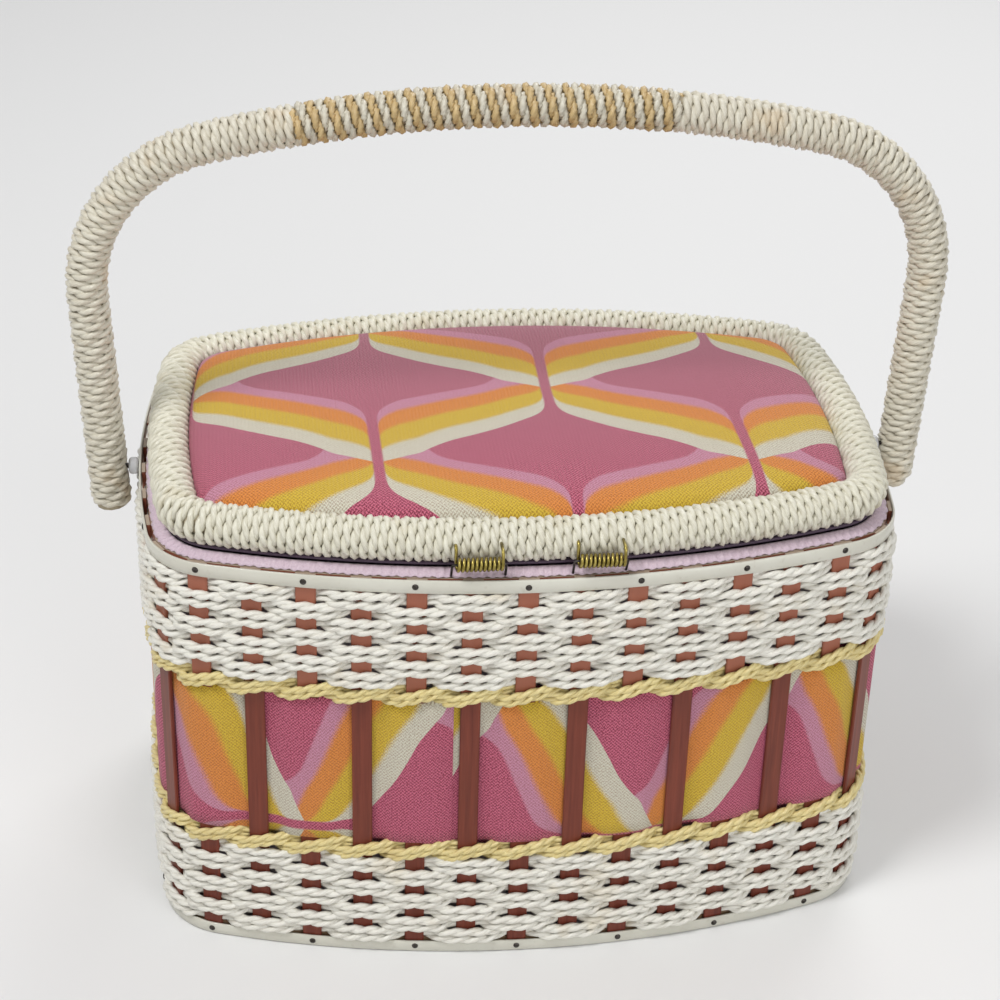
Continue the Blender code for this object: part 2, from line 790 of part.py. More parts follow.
def wound_radius():
    """The middle of a cord that lies on the bare core, and the core's own radius there."""
    cord = HANDLE_RADIUS - WINDING_CORD_RADIUS
    flat = cord * math.cos(math.pi / CURL_POINTS)
    return cord, flat - WINDING_CORD_RADIUS - GAP


def make_handle(swing):
    """The core with its plain wound legs, thinner where the two cords are wound."""
    half = half_handle()
    length = WINDING_TURNS * WINDING_PITCH
    runs = [WINDING_START + length * i / 8 for i in range(9)]
    thin = wound_radius()[1]
    rows = []
    for place, turn in reversed(half):
        rows.append(handle_ring(Vector((-place.x, place.y)), -turn, HANDLE_RADIUS))
    rows.append(handle_ring(*crown_place(runs[0]), HANDLE_RADIUS))
    rows += [handle_ring(*crown_place(run), thin) for run in runs]
    rows.append(handle_ring(*crown_place(runs[-1]), HANDLE_RADIUS))
    rows += [handle_ring(place, turn, HANDLE_RADIUS) for place, turn in half]
    cream = material("handle cord", CREAM_CORD, 0.6)
    core = add("handle_core", skin("handle core", rows, False), cream, swing)
    tan = material("tan cord", TAN_CORD, 0.6)
    for name, finish, shift in (("tan", tan, 0), ("cream", cream, WINDING_PITCH / 2)):
        points, helix = winding_points(shift)
        gap = least_self_gap(helix, WINDING_CORD_RADIUS, CURL_POINTS)
        print(f"{name} winding: least gap to itself {gap * 1000:.2f} mm")
        made = f"handle_{name}_winding"
        add(made, wire(made, points, WINDING_CORD_RADIUS, 1), finish, swing)
    return core


def winding_points(shift):
    """A cord wound round the crown, its ends turned along the handle into the legs' wrapping."""
    length = WINDING_TURNS * WINDING_PITCH - 2 * WINDING_TUCK
    turns = length / WINDING_PITCH
    count = round(turns * CURL_POINTS)
    radius = wound_radius()[0]
    start = WINDING_START + WINDING_TUCK
    phase = 2 * math.pi * shift / WINDING_PITCH

    def place(run, angle):
        point, turn = crown_place(run)
        out = Vector((math.sin(turn), 0, math.cos(turn)))
        around = out * math.cos(angle) + Vector((0, math.sin(angle), 0))
        return Vector((point.x, 0, point.y)) + around * radius

    helix = []
    for i in range(count + 1):
        share = i / count
        helix.append(place(start + length * share, phase + 2 * math.pi * turns * share))
    step = 2 * math.pi / CURL_POINTS
    ends = []
    for way, run, angle in ((-1, start, phase), (1, start + length, phase + 2 * math.pi * turns)):
        tip = way * (WINDING_TUCK - GAP)
        lead = [(0.25, 0.7), (0.45, 1.0), (1.0, 1.0)]
        ends.append([place(run + tip * far, angle + way * step * near) for far, near in lead])
    return list(reversed(ends[0])) + helix + ends[1], helix


def make_pivots(core, pierced, lining_inset):
    """On each end a pin from inside the lining, through the rim and a bead, into the leg."""
    steel = material("pin steel", STEEL, 0.4, 1.0)
    white = material("spacer bead", BEAD_WHITE, 0.35)
    head_end = HALF_LENGTH - lining_inset - GAP
    shaft_end = LEG_X
    pin_profile = (
        (head_end - PIN_HEAD_THICKNESS, PIN_HEAD_RADIUS),
        (head_end, PIN_HEAD_RADIUS),
        (head_end, PIN_RADIUS),
        (shaft_end, PIN_RADIUS),
    )
    pin = turned("pivot pin", pin_profile, False)
    bore = PIN_RADIUS + GAP
    waist = BEAD_RADIUS - BEAD_ROUNDING
    low = HALF_LENGTH + GAP
    high = low + BEAD_LENGTH
    bead_profile = (
        (low, bore),
        (low, waist),
        (low + BEAD_ROUNDING, BEAD_RADIUS),
        (high - BEAD_ROUNDING, BEAD_RADIUS),
        (high, waist),
        (high, bore),
    )
    bead = turned("spacer bead", bead_profile, True)
    for name, turn in (("right", 0), ("left", math.pi)):
        way = Vector((math.cos(turn), 0, 0))
        centre = Vector((0, 0, PIVOT_HEIGHT))
        start = centre + way * (head_end - GAP)
        end = centre + way * (shaft_end + GAP)
        cutter = bar_cutter(f"pin bore {name}", start, end, bore)
        for piece in (*pierced, core):
            cut(piece, cutter)
        for label, mesh, finish in (("pivot_pin", pin, steel), ("spacer_bead", bead, white)):
            made = add(f"{label}_{name}", mesh, finish)
            made.location = centre
            made.rotation_euler.z = turn


def build():
    clear_scene()
    hinge = pivot("lid hinge axis", (0, hinge_y(), HINGE_HEIGHT))
    swing = pivot("handle axis", (0, 0, PIVOT_HEIGHT))
    make_base()
    hoop = make_staves()
    make_weaving()
    binding = make_top_binding()
    tub, lining_inset = make_lining()
    rim = make_lid(hinge)
    make_hinges(hinge, hoop, rim)
    core = make_handle(swing)
    make_pivots(core, (hoop, binding, tub), lining_inset)


build()
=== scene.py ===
import json
import math
import bmesh
import bpy
import numpy as np
from mathutils import Matrix, Vector


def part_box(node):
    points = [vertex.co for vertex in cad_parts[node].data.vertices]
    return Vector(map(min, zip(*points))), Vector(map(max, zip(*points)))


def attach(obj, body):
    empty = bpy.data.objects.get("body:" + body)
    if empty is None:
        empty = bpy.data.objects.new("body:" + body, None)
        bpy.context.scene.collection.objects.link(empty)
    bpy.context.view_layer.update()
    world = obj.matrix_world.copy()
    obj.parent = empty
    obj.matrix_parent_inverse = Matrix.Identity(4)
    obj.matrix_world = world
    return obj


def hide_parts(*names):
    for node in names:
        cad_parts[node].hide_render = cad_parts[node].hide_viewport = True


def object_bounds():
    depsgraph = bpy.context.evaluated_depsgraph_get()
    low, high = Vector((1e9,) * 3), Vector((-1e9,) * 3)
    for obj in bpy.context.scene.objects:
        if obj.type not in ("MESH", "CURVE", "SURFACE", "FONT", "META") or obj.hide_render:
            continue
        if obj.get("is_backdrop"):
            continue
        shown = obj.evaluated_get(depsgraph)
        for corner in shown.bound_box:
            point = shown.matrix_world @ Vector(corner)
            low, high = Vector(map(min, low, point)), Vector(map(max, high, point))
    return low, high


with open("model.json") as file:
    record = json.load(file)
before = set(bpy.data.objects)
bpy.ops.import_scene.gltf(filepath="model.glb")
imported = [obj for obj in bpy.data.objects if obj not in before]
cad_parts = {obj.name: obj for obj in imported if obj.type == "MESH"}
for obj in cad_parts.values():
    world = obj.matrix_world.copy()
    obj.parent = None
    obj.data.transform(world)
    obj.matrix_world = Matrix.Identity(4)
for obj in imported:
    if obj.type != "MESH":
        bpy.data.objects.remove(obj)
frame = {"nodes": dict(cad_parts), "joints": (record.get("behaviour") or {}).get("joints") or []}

CAD_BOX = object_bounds()
MM = 0.001
TAU = 2 * math.pi
RNG = np.random.default_rng(7)

# The body's outline, as in the solids, in metres
HALF_LENGTH, HALF_DEPTH = 149 * MM, 102 * MM
SIDE_RADIUS, END_RADIUS, CORNER_RADIUS = 405 * MM, 430 * MM, 31 * MM
STAVES = 42
STAVE_SHIFT = -3.9 * MM

# Levels
HOOP_TOP = 176.5 * MM
RIM_LOW, RIM_HIGH = (corner[2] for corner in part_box("lid_rim"))
RIM_MIDDLE = (RIM_LOW + RIM_HIGH) / 2


# Outline of the wall


def corner_circle():
    """Centres of the side's, the end's and the corner's arcs. The last touches both others."""
    side = np.array([0, SIDE_RADIUS - HALF_DEPTH])
    end = np.array([HALF_LENGTH - END_RADIUS, 0])
    to_side, to_end = SIDE_RADIUS - CORNER_RADIUS, END_RADIUS - CORNER_RADIUS
    apart = np.hypot(*(end - side))
    along = (to_side**2 - to_end**2 + apart**2) / (2 * apart)
    across = math.sqrt(to_side**2 - along**2)
    way = (end - side) / apart
    return side, end, side + way * along + np.array([-way[1], way[0]]) * across


SIDE_C, END_C, CORNER_C = corner_circle()
SIDE_TURN = math.atan2(*(CORNER_C - SIDE_C)[::-1]) + math.pi / 2
END_TURN = -math.atan2(*(CORNER_C - END_C)[::-1])
CORNER_TURN = math.pi / 2 - SIDE_TURN - END_TURN
SIDE_RUN = SIDE_RADIUS * SIDE_TURN
CORNER_RUN = CORNER_RADIUS * CORNER_TURN
QUARTER = SIDE_RUN + CORNER_RUN + END_RADIUS * END_TURN
WALL = 4 * QUARTER
PITCH = WALL / STAVES


def outline(run):
    """Points and outward normals of the wall's outer line, at distances from its front middle."""
    run = np.mod(run, WALL)
    half = np.mod(run, 2 * QUARTER)
    first = np.where(half > QUARTER, 2 * QUARTER - half, half)
    on_side = first < SIDE_RUN
    on_corner = ~on_side & (first < SIDE_RUN + CORNER_RUN)
    turn = np.where(
        on_side,
        first / SIDE_RADIUS,
        np.where(
            on_corner,
            SIDE_TURN + (first - SIDE_RUN) / CORNER_RADIUS,
            math.pi / 2 - (QUARTER - first) / END_RADIUS,
        ),
    )
    radius = np.where(on_side, SIDE_RADIUS, np.where(on_corner, CORNER_RADIUS, END_RADIUS))
    centre = np.where(
        on_side[:, None], SIDE_C, np.where(on_corner[:, None], CORNER_C, END_C)
    )
    normal = np.stack([np.sin(turn), -np.cos(turn)], 1)
    point = centre + normal * radius[:, None]
    back = run >= 2 * QUARTER
    signs = np.stack([np.where(back, -1, 1), np.where((half > QUARTER) != back, -1, 1)], 1)
    return point * signs, normal * signs


def on_wall(run, inset, z):
    """Points at an inset from the wall's outer line, and the outward directions there."""
    run = np.asarray(run, float)
    point, normal = outline(run)
    flat = point - normal * np.broadcast_to(inset, run.shape)[:, None]
    points = np.column_stack([flat, np.broadcast_to(z, run.shape)])
    return points, np.column_stack([normal, np.zeros(len(run))])


def around(count):
    """Even places round the wall."""
    return np.linspace(0, WALL, count, endpoint=False)


# Meshes


def mesh_object(name, verts, faces, material, body, attributes=None, turn=True):
    """A smooth mesh that rides on a body. The attributes are vectors at its points."""
    mesh = bpy.data.meshes.new(name)
    mesh.from_pydata([tuple(v) for v in verts], [], faces)
    if turn:
        turned = bmesh.new()
        turned.from_mesh(mesh)
        bmesh.ops.recalc_face_normals(turned, faces=turned.faces)
        turned.to_mesh(mesh)
        turned.free()
    for label, values in (attributes or {}).items():
        made = mesh.attributes.new(label, "FLOAT_VECTOR", "POINT")
        made.data.foreach_set("vector", np.asarray(values, np.float32).ravel())
    mesh.materials.append(material)
    mesh.shade_smooth()
    mesh.validate()
    obj = bpy.data.objects.new(name, mesh)
    bpy.context.scene.collection.objects.link(obj)
    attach(obj, body)
    return obj


def grid_faces(rows, columns, close_rows, close_columns, start=0):
    """Quads over a grid of points, row by row."""
    row = np.arange(rows if close_rows else rows - 1)
    column = np.arange(columns if close_columns else columns - 1)
    i, j = np.meshgrid(row, column, indexing="ij")
    next_i, next_j = (i + 1) % rows, (j + 1) % columns
    faces = np.stack(
        [i * columns + j, i * columns + next_j, next_i * columns + next_j, next_i * columns + j],
        -1,
    )
    return faces.reshape(-1, 4) + start


def fan(start, count, tip, flip=False):
    """Triangles from a ring of points to one point."""
    ring = [(start + i, start + (i + 1) % count) for i in range(count)]
    return [[b, a, tip] if flip else [a, b, tip] for a, b in ring]


def ring_solid(name, run, profile, material, body):
    """A closed band round the wall, from a profile of (inset, height) arrays or numbers."""
    rows = [on_wall(run, inset, z)[0] for inset, z in profile]
    verts = np.concatenate(rows)
    faces = grid_faces(len(rows), len(run), True, True)[:, ::-1].tolist()
    return mesh_object(name, verts, faces, material, body)


# Paths and cords


def unit(vectors):
    return vectors / np.maximum(np.linalg.norm(vectors, axis=1, keepdims=True), 1e-12)


def lengths_along(points):
    steps = np.linalg.norm(np.diff(points, axis=0), axis=1)
    return np.concatenate([[0], np.cumsum(steps)])


def at_lengths(place, lengths, vectors):
    """The vectors of a path, read at other lengths along it."""
    return np.column_stack([np.interp(place, lengths, vectors[:, k]) for k in range(3)])


def frames(points, towards, closed):
    """Two directions across a path, the first facing the given way."""
    if closed:
        tangent = np.roll(points, -1, 0) - np.roll(points, 1, 0)
    else:
        tangent = np.gradient(points, axis=0)
    tangent = unit(tangent)
    first = unit(towards - (towards * tangent).sum(1, keepdims=True) * tangent)
    return first, np.cross(tangent, first)


def tubes(name, strands, sides, material, body):
    """One mesh of round tubes, each (points, facing directions, radii, closed)."""
    verts, quads, caps, tags = [], [], [], []
    start = 0
    angle = TAU * np.arange(sides) / sides
    cos, sin = np.cos(angle)[:, None], np.sin(angle)[:, None]
    for points, towards, radius, closed in strands:
        first, second = frames(points, towards, closed)
        count = len(points)
        radius = np.broadcast_to(radius, count)[:, None, None]
        across = first[:, None] * cos + second[:, None] * sin
        verts.append((points[:, None] + across * radius).reshape(-1, 3))
        quads.append(grid_faces(count, sides, closed, True, start))
        # For the material: a random number, the length along and the place round the strand
        tag = np.empty((count, sides, 3))
        tag[..., 0] = RNG.random()
        tag[..., 1] = lengths_along(points)[:, None]
        tag[..., 2] = np.abs(np.arange(sides) / sides * 2 - 1)
        tags.append(tag.reshape(-1, 3))
        if not closed:
            caps.append(list(range(start, start + sides))[::-1])
            last = start + (count - 1) * sides
            caps.append(list(range(last, last + sides)))
        start += count * sides
    faces = np.concatenate(quads).tolist() + caps
    attributes = {"strand": np.concatenate(tags)}
    verts = np.concatenate(verts)
    return mesh_object(name, verts, faces, material, body, attributes, False)


def resample(points, towards, closed, step):
    """The path again at even steps, with the lengths there and its whole length."""
    if closed:
        points = np.vstack([points, points[:1]])
        towards = np.vstack([towards, towards[:1]])
    length = lengths_along(points)
    count = max(4, round(length[-1] / step))
    at = np.linspace(0, length[-1], count + 1)
    if closed:
        at = at[:-1]
    return at_lengths(at, length, points), at_lengths(at, length, towards), at, length[-1]


def drift(at, wave, size):
    """Slow random variation along a length."""
    total = np.zeros(len(at))
    for _ in range(3):
        total += np.sin(TAU * at / (wave * RNG.uniform(0.7, 1.4)) + RNG.uniform(0, TAU))
    return total / 3 * size


def two_ply(points, towards, closed, radius, offset, pitch, step, sense=-1):
    """The two twisted strands of one cord along a path. A closed cord's ends meet, so it
    keeps one twist and one thickness."""
    points, towards, at, total = resample(points, towards, closed, step)
    first, second = frames(points, towards, closed)
    turns = round(total / pitch) if closed else total / pitch
    wobble = 0 if closed else drift(at, 60 * MM, 0.5)
    angle = sense * TAU * turns * at / total + RNG.uniform(0, TAU) + wobble
    strands = []
    for phase in (0, math.pi):
        out = first * np.cos(angle + phase)[:, None] + second * np.sin(angle + phase)[:, None]
        uneven = drift(at, 25 * MM, 0.06)
        thick = radius if closed else radius * (1 + uneven)
        strands.append((points + out * offset, out, thick, closed))
    return strands


def wound(path, out, side, total, pitch, width, height, closed, phase=0.0, tuck=False):
    """A cord's path round a bar, given as points and the lengths there. Out and side are
    directions across the bar, and tucked ends lie closer to it."""
    centre, at = path
    turns = round(total / pitch) if closed else total / pitch
    place = np.linspace(0, total, int(turns * 40), endpoint=not closed)
    angle = TAU * turns * place / total + phase
    reach = np.ones(len(place))
    if tuck:
        from_end = np.minimum(np.arange(len(place)), np.arange(len(place))[::-1]) / 6.0
        reach = np.clip(0.7 + 0.3 * from_end, 0.7, 1)
    first = unit(at_lengths(place, at, out)) * (np.cos(angle) * width * reach)[:, None]
    second = unit(at_lengths(place, at, side)) * (np.sin(angle) * height * reach)[:, None]
    points = at_lengths(place, at, centre) + first + second
    return points, unit(first / width**2 + second / height**2)


# Materials


class Graph:
    """A short way to write a material's nodes."""

    def __init__(self, name):
        self.material = bpy.data.materials.new(name)
        self.material.use_nodes = True
        self.tree = self.material.node_tree
        self.shader = self.tree.nodes["Principled BSDF"]

    def node(self, kind, **settings):
        made = self.tree.nodes.new("ShaderNode" + kind)
        for key, value in settings.items():
            setattr(made, key, value)
        return made

    def put(self, node, key, value):
        socket = node.inputs[key]
        if isinstance(value, bpy.types.NodeSocket):
            self.tree.links.new(value, socket)
        elif isinstance(value, bpy.types.Node):
            self.tree.links.new(value.outputs[0], socket)
        else:
            socket.default_value = value

    def math(self, operation, first, second=0.0, clamp=False):
        made = self.node("Math", operation=operation, use_clamp=clamp)
        self.put(made, 0, first)
        self.put(made, 1, second)
        return made.outputs[0]

    def plus(self, first, second, clamp=False):
        return self.math("ADD", first, second, clamp)

    def less(self, first, second):
        return self.math("SUBTRACT", first, second)

    def times(self, first, second, clamp=False):
        return self.math("MULTIPLY", first, second, clamp)

    def mix(self, share, first, second, blend="MIX"):
        made = self.node("Mix", data_type="RGBA", blend_type=blend)
        self.put(made, 0, share)
        for key, value in ((6, first), (7, second)):
            self.put(made, key, (*value, 1.0) if isinstance(value, tuple) else value)
        return made.outputs[2]

    def ramp(self, value, stops):
        """A colour ramp through (place, colour or grey) stops."""
        made = self.node("ValToRGB")
        elements = made.color_ramp.elements
        while len(elements) < len(stops):
            elements.new(0.5)
        for element, (place, colour) in zip(elements, stops):
            element.position = place
            colour = colour if isinstance(colour, tuple) else (colour,) * 3
            element.color = (*colour, 1.0)
        self.put(made, 0, value)
        return made.outputs[0]

    def noise(self, vector, scale, detail=3.0, roughness=0.5):
        made = self.node("TexNoise")
        self.put(made, "Vector", vector)
        for key, value in (("Scale", scale), ("Detail", detail), ("Roughness", roughness)):
            self.put(made, key, value)
        return made.outputs[0]

    def attribute(self, name):
        return self.node("Attribute", attribute_name=name).outputs["Vector"]

    def split(self, vector):
        made = self.node("SeparateXYZ")
        self.put(made, 0, vector)
        return made.outputs

    def join(self, x, y, z):
        made = self.node("CombineXYZ")
        for i, value in enumerate((x, y, z)):
            self.put(made, i, value)
        return made.outputs[0]

    def place(self):
        return self.node("TexCoord").outputs["Object"]

    def finish(self, colour, roughness, height=None, depth=0.0, metallic=0.0, **more):
        """The material, with further sockets named with _ for each space."""
        shader = self.shader
        if isinstance(colour, tuple):
            colour = (*colour, 1.0)
        self.put(shader, "Base Color", colour)
        self.put(shader, "Roughness", roughness)
        self.put(shader, "Metallic", metallic)
        for key, value in more.items():
            self.put(shader, key.replace("_", " "), value)
        if height is not None:
            bump = self.node("Bump")
            self.put(bump, "Strength", 1.0)
            self.put(bump, "Distance", depth)
            self.put(bump, "Height", height)
            self.put(shader, "Normal", bump)
        return self.material


def cord_material(name, light, dark, stain, stain_share=0.35):
    """Twisted paper-like cord: fibres along each strand, uneven tone and a few stains."""
    g = Graph(name)
    tag, along, place_round = g.split(g.attribute("strand"))
    lengthways = g.join(g.times(along, 90), g.times(place_round, 7), g.times(tag, 60))
    fibre = g.noise(lengthways, 3.0, 4.0, 0.6)
    tone = g.noise(g.join(g.times(along, 14), g.times(tag, 90), 0.0), 1.5, 2.0)
    patches = g.noise(g.place(), 55.0, 2.0)
    colour = g.mix(g.ramp(fibre, ((0.32, 0.0), (0.66, 1.0))), dark, light)
    colour = g.mix(g.ramp(tone, ((0.35, 0.0), (0.7, 0.5))), colour, light)
    colour = g.mix(g.ramp(patches, ((0.6, 0.0), (0.74, stain_share))), colour, stain)
    return g.finish(colour, 0.3, fibre, 0.2 * MM, Specular_IOR_Level=0.7)


def plain_cord(name, colour):
    """What shows between the turns of a winding: the core's colour, darkened to half to four
    fifths of it as painted shade between the turns.
    """
    g = Graph(name)
    speckle = g.noise(g.place(), 900.0, 2.0)
    shade = g.mix(speckle, tuple(c * 0.5 for c in colour), tuple(c * 0.8 for c in colour))
    return g.finish(shade, 0.8, speckle, 0.2 * MM)


# The staves are lighter above the printed band, between these heights
LIGHT_FROM, LIGHT_FULL = 0.126, 0.129
LIGHT_STAVE, HOOP_EDGE = (0.418, 0.154, 0.0935), (0.42, 0.33, 0.25)


def wood_material(name, light, dark, roughness, scale, staves=False):
    """Wood with fine grain. On the staves the hoop's upper edge is bare."""
    g = Graph(name)
    place = g.place()
    mapping = g.node("Mapping")
    g.put(mapping, "Vector", place)
    g.put(mapping, "Scale", scale)
    grain = g.noise(mapping, 1.0, 4.0, 0.65)
    broad = g.noise(place, 45.0, 2.0)
    colour = g.mix(g.ramp(grain, ((0.3, 0.0), (0.7, 1.0))), dark, light)
    patch = tuple(c * 0.75 for c in light)
    colour = g.mix(g.ramp(broad, ((0.4, 0.0), (0.75, 0.45))), colour, patch)
    if staves:
        height = g.split(place)[2]
        past_top = g.math("DIVIDE", g.less(height, HOOP_TOP - 0.3 * MM), 0.2 * MM)
        upper = g.ramp(height, ((LIGHT_FROM, 0.0), (LIGHT_FULL, 0.7)))
        colour = g.mix(upper, colour, LIGHT_STAVE)
        colour = g.mix(g.ramp(past_top, ((0.0, 0.0), (1.0, 1.0))), colour, HOOP_EDGE)
    return g.finish(colour, roughness, grain, 0.06 * MM, Specular_IOR_Level=0.3)


PINK, PINK_LIGHT = (0.19, 0.011, 0.038), (0.62, 0.15, 0.235)
# Greyer pinks for the painted sheen, a reflection of the light painted onto the back of the lid
SHEEN_PINK, SHEEN_PINK_LIGHT = (0.22, 0.085, 0.105), (0.44, 0.20, 0.245)
MAUVE, ORANGE = (0.58, 0.26, 0.37), (0.72, 0.26, 0.05)
YELLOW, CREAM = (0.66, 0.46, 0.04), (0.66, 0.64, 0.53)
# Multiplied into the stripes where the weave lies low: painted shade in the hollows between the
# threads
HOLLOW_SHADE = (0.45, 0.30, 0.22)

# The upper and lower edge of a pink diamond: the place from its neck to the next column,
# and the height there, as a share of the pattern's length
UPPER_EDGE = (
    (0.0, -0.40), (0.028, -0.295), (0.045, -0.252), (0.07, -0.226), (0.11, -0.203),
    (0.15, -0.186), (0.22, -0.158), (0.30, -0.128), (0.45, -0.082), (0.60, -0.040),
    (0.72, 0.008), (0.76, 0.028), (0.85, 0.051), (1.0, 0.092),
)
LOWER_EDGE = (
    (0.0, 0.42), (0.028, 0.31), (0.045, 0.264), (0.07, 0.236), (0.11, 0.207),
    (0.15, 0.187), (0.22, 0.166), (0.30, 0.147), (0.45, 0.113), (0.60, 0.079),
    (0.72, 0.044), (0.76, 0.030), (0.88, 0.008), (1.0, -0.012),
)
# Where one stripe gives way to the next, from a diamond down to the one below
STRIPES = ((0.18, MAUVE, ORANGE), (0.445, ORANGE, YELLOW), (0.75, YELLOW, CREAM))
STRIPE_SOFTNESS = 0.024
NECK_INSIDE, NECK_OUTSIDE = 0.024, 0.036
TIP_START, TIP_LENGTH, TIP_CUT = 0.58, 0.15, 0.038
THREAD_PERIOD = 1.05 * MM
# Where the painted sheen on the lid begins, and over what depth it grows towards the back
SHEEN_FROM, SHEEN_OVER = -85 * MM, 170 * MM


def edge_curve(g, points, place):
    """A diamond's edge as a curve over the place between two columns."""
    made = g.node("FloatCurve")
    curve = made.mapping.curves[0]
    while len(curve.points) < len(points):
        curve.points.new(0.5, 0.5)
    for point, (x, y) in zip(curve.points, points):
        point.location = (x, y + 0.5)
        point.handle_type = "AUTO_CLAMPED"
    made.mapping.update()
    g.put(made, "Value", place)
    return g.less(made.outputs[0], 0.5)


def tip_cut(g, place):
    """By how much a diamond's rounded tip falls short of a pointed one."""
    near = g.times(g.less(place, TIP_START), 1 / TIP_LENGTH, True)
    return g.times(g.math("POWER", near, 3.0), TIP_CUT)


def weave_height(g, cloth):
    """Plain weave on the bias: each thread passes over every other crossing."""
    x, y, _ = g.split(cloth)
    wave = math.pi / THREAD_PERIOD * 0.7071
    one = g.math("SINE", g.times(g.plus(x, y), wave))
    two = g.math("SINE", g.times(g.less(x, y), wave))
    over = g.math("GREATER_THAN", g.times(one, two), 0.0)
    ridge_one = g.times(g.math("ABSOLUTE", one), g.less(1.0, over))
    ridge_two = g.times(g.math("ABSOLUTE", two), over)
    uneven = g.times(g.less(g.noise(cloth, 1500.0, 2.0), 0.5), 2.3)
    return g.plus(g.plus(ridge_one, ridge_two), uneven)


def print_material(name, painted_sheen=0.0):
    """Printed cloth: columns of pink diamonds on narrow necks, with four stripes between
    them. The attribute "print" gives the column and the place along it, and "cloth" the
    place in metres. The last argument is how much painted sheen, a reflection of the light
    painted into the colour, greys the pink towards the back."""
    g = Graph(name)
    across, along, _ = g.split(g.attribute("print"))
    fold = g.math("PINGPONG", across, 1.0)
    other = g.less(1.0, fold)
    up_here, up_there = edge_curve(g, UPPER_EDGE, fold), edge_curve(g, UPPER_EDGE, other)
    low_here, low_there = edge_curve(g, LOWER_EDGE, fold), edge_curve(g, LOWER_EDGE, other)
    # Down a column come its own diamond, stripes, the next column's diamond, and stripes
    down = g.math("FRACT", g.less(along, up_here))
    first_top = g.less(low_here, up_here)
    first_end = g.plus(0.5, g.less(up_there, up_here))
    second_top = g.plus(first_end, g.less(low_there, up_there))
    in_first = g.math("LESS_THAN", down, first_end)
    in_second = g.less(1.0, in_first)
    share_1 = g.math("DIVIDE", g.less(down, first_top), g.less(first_end, first_top))
    share_2 = g.math("DIVIDE", g.less(down, second_top), g.less(1.0, second_top))
    share = g.plus(g.times(share_1, in_first), g.times(share_2, in_second))
    past_1 = g.less(down, g.less(first_top, tip_cut(g, fold)))
    past_2 = g.less(down, g.less(second_top, tip_cut(g, other)))
    past = g.plus(g.times(past_1, in_first), g.times(past_2, in_second))
    # The threads make the edges uneven
    cloth = g.attribute("cloth")
    grain = g.less(g.noise(cloth, 2200.0, 1.0), 0.5)
    share = g.plus(share, g.times(grain, 0.13))
    past = g.plus(past, g.times(grain, 0.026))
    neck = g.plus(g.math("MINIMUM", fold, other), g.times(grain, 0.01))
    # The ramp keeps a tenth free at each end, where the grain reaches past 0 and 1
    stops = [(0.0, MAUVE)]
    for end, before, after in STRIPES:
        at = 0.1 + 0.8 * end
        stops += [(at - STRIPE_SOFTNESS, before), (at + STRIPE_SOFTNESS, after)]
    striped = g.ramp(g.plus(g.times(share, 0.8), 0.1), stops)
    is_stripe = g.plus(g.times(past, 110.0), 0.5, True)
    is_stripe = g.times(is_stripe, g.ramp(neck, ((NECK_INSIDE, 0.0), (NECK_OUTSIDE, 1.0))))
    thread = weave_height(g, cloth)
    pink = g.mix(g.ramp(thread, ((0.40, 0.0), (0.9, 1.0))), PINK, PINK_LIGHT)
    # Painted sheen: towards the back the pink is mixed with greyer pinks, a reflection of the
    # light painted into the colour
    dull = g.mix(g.ramp(thread, ((0.1, 0.0), (1.0, 1.0))), SHEEN_PINK, SHEEN_PINK_LIGHT)
    wear_and_sheen = g.times(g.less(g.split(cloth)[1], SHEEN_FROM), 1 / SHEEN_OVER, True)
    pink = g.mix(g.times(wear_and_sheen, painted_sheen), pink, dull)
    # Painted shade: the stripes are darkened where the weave lies low, between the threads
    hollow_shade = g.ramp(thread, ((0.1, 0.75), (0.9, 0.0)))
    striped = g.mix(hollow_shade, striped, HOLLOW_SHADE, "MULTIPLY")
    colour = g.mix(is_stripe, pink, striped)
    return g.finish(colour, 0.85, thread, 0.16 * MM, Sheen_Weight=0.1)


def cloth_material(name, light, dark, roughness=0.85):
    g = Graph(name)
    fine = g.noise(g.place(), 1400.0, 2.0)
    broad = g.noise(g.place(), 60.0, 2.0)
    colour = g.mix(fine, dark, light)
    colour = g.mix(g.ramp(broad, ((0.4, 0.0), (0.8, 0.35))), colour, dark)
    return g.finish(colour, roughness, fine, 0.1 * MM, Sheen_Weight=0.1)


def metal_material(name, light, dark, roughness=0.3):
    g = Graph(name)
    wear_and_sheen = g.noise(g.place(), 700.0, 3.0)
    colour = g.mix(g.ramp(wear_and_sheen, ((0.35, 0.0), (0.7, 1.0))), dark, light)
    return g.finish(colour, roughness, wear_and_sheen, 0.02 * MM, metallic=1.0)


def strip_material(name):
    """Off-white coated strip, slightly dirty."""
    clean, dull, dirt = (0.66, 0.65, 0.57), (0.56, 0.54, 0.46), (0.40, 0.35, 0.27)
    g = Graph(name)
    place = g.place()
    broad = g.noise(place, 30.0, 3.0)
    fine = g.noise(place, 400.0, 2.0)
    colour = g.mix(g.ramp(broad, ((0.35, 0.0), (0.75, 1.0))), clean, dull)
    colour = g.mix(g.ramp(fine, ((0.62, 0.0), (0.8, 0.3))), colour, dirt)
    return g.finish(colour, 0.35, fine, 0.03 * MM, Coat_Weight=0.2)


def bead_material(name):
    g = Graph(name)
    cloud = g.noise(g.place(), 300.0, 2.0)
    colour = g.mix(cloud, (0.86, 0.86, 0.88), (0.76, 0.77, 0.80))
    return g.finish(colour, 0.25, cloud, 0.01 * MM, Transmission_Weight=0.35)


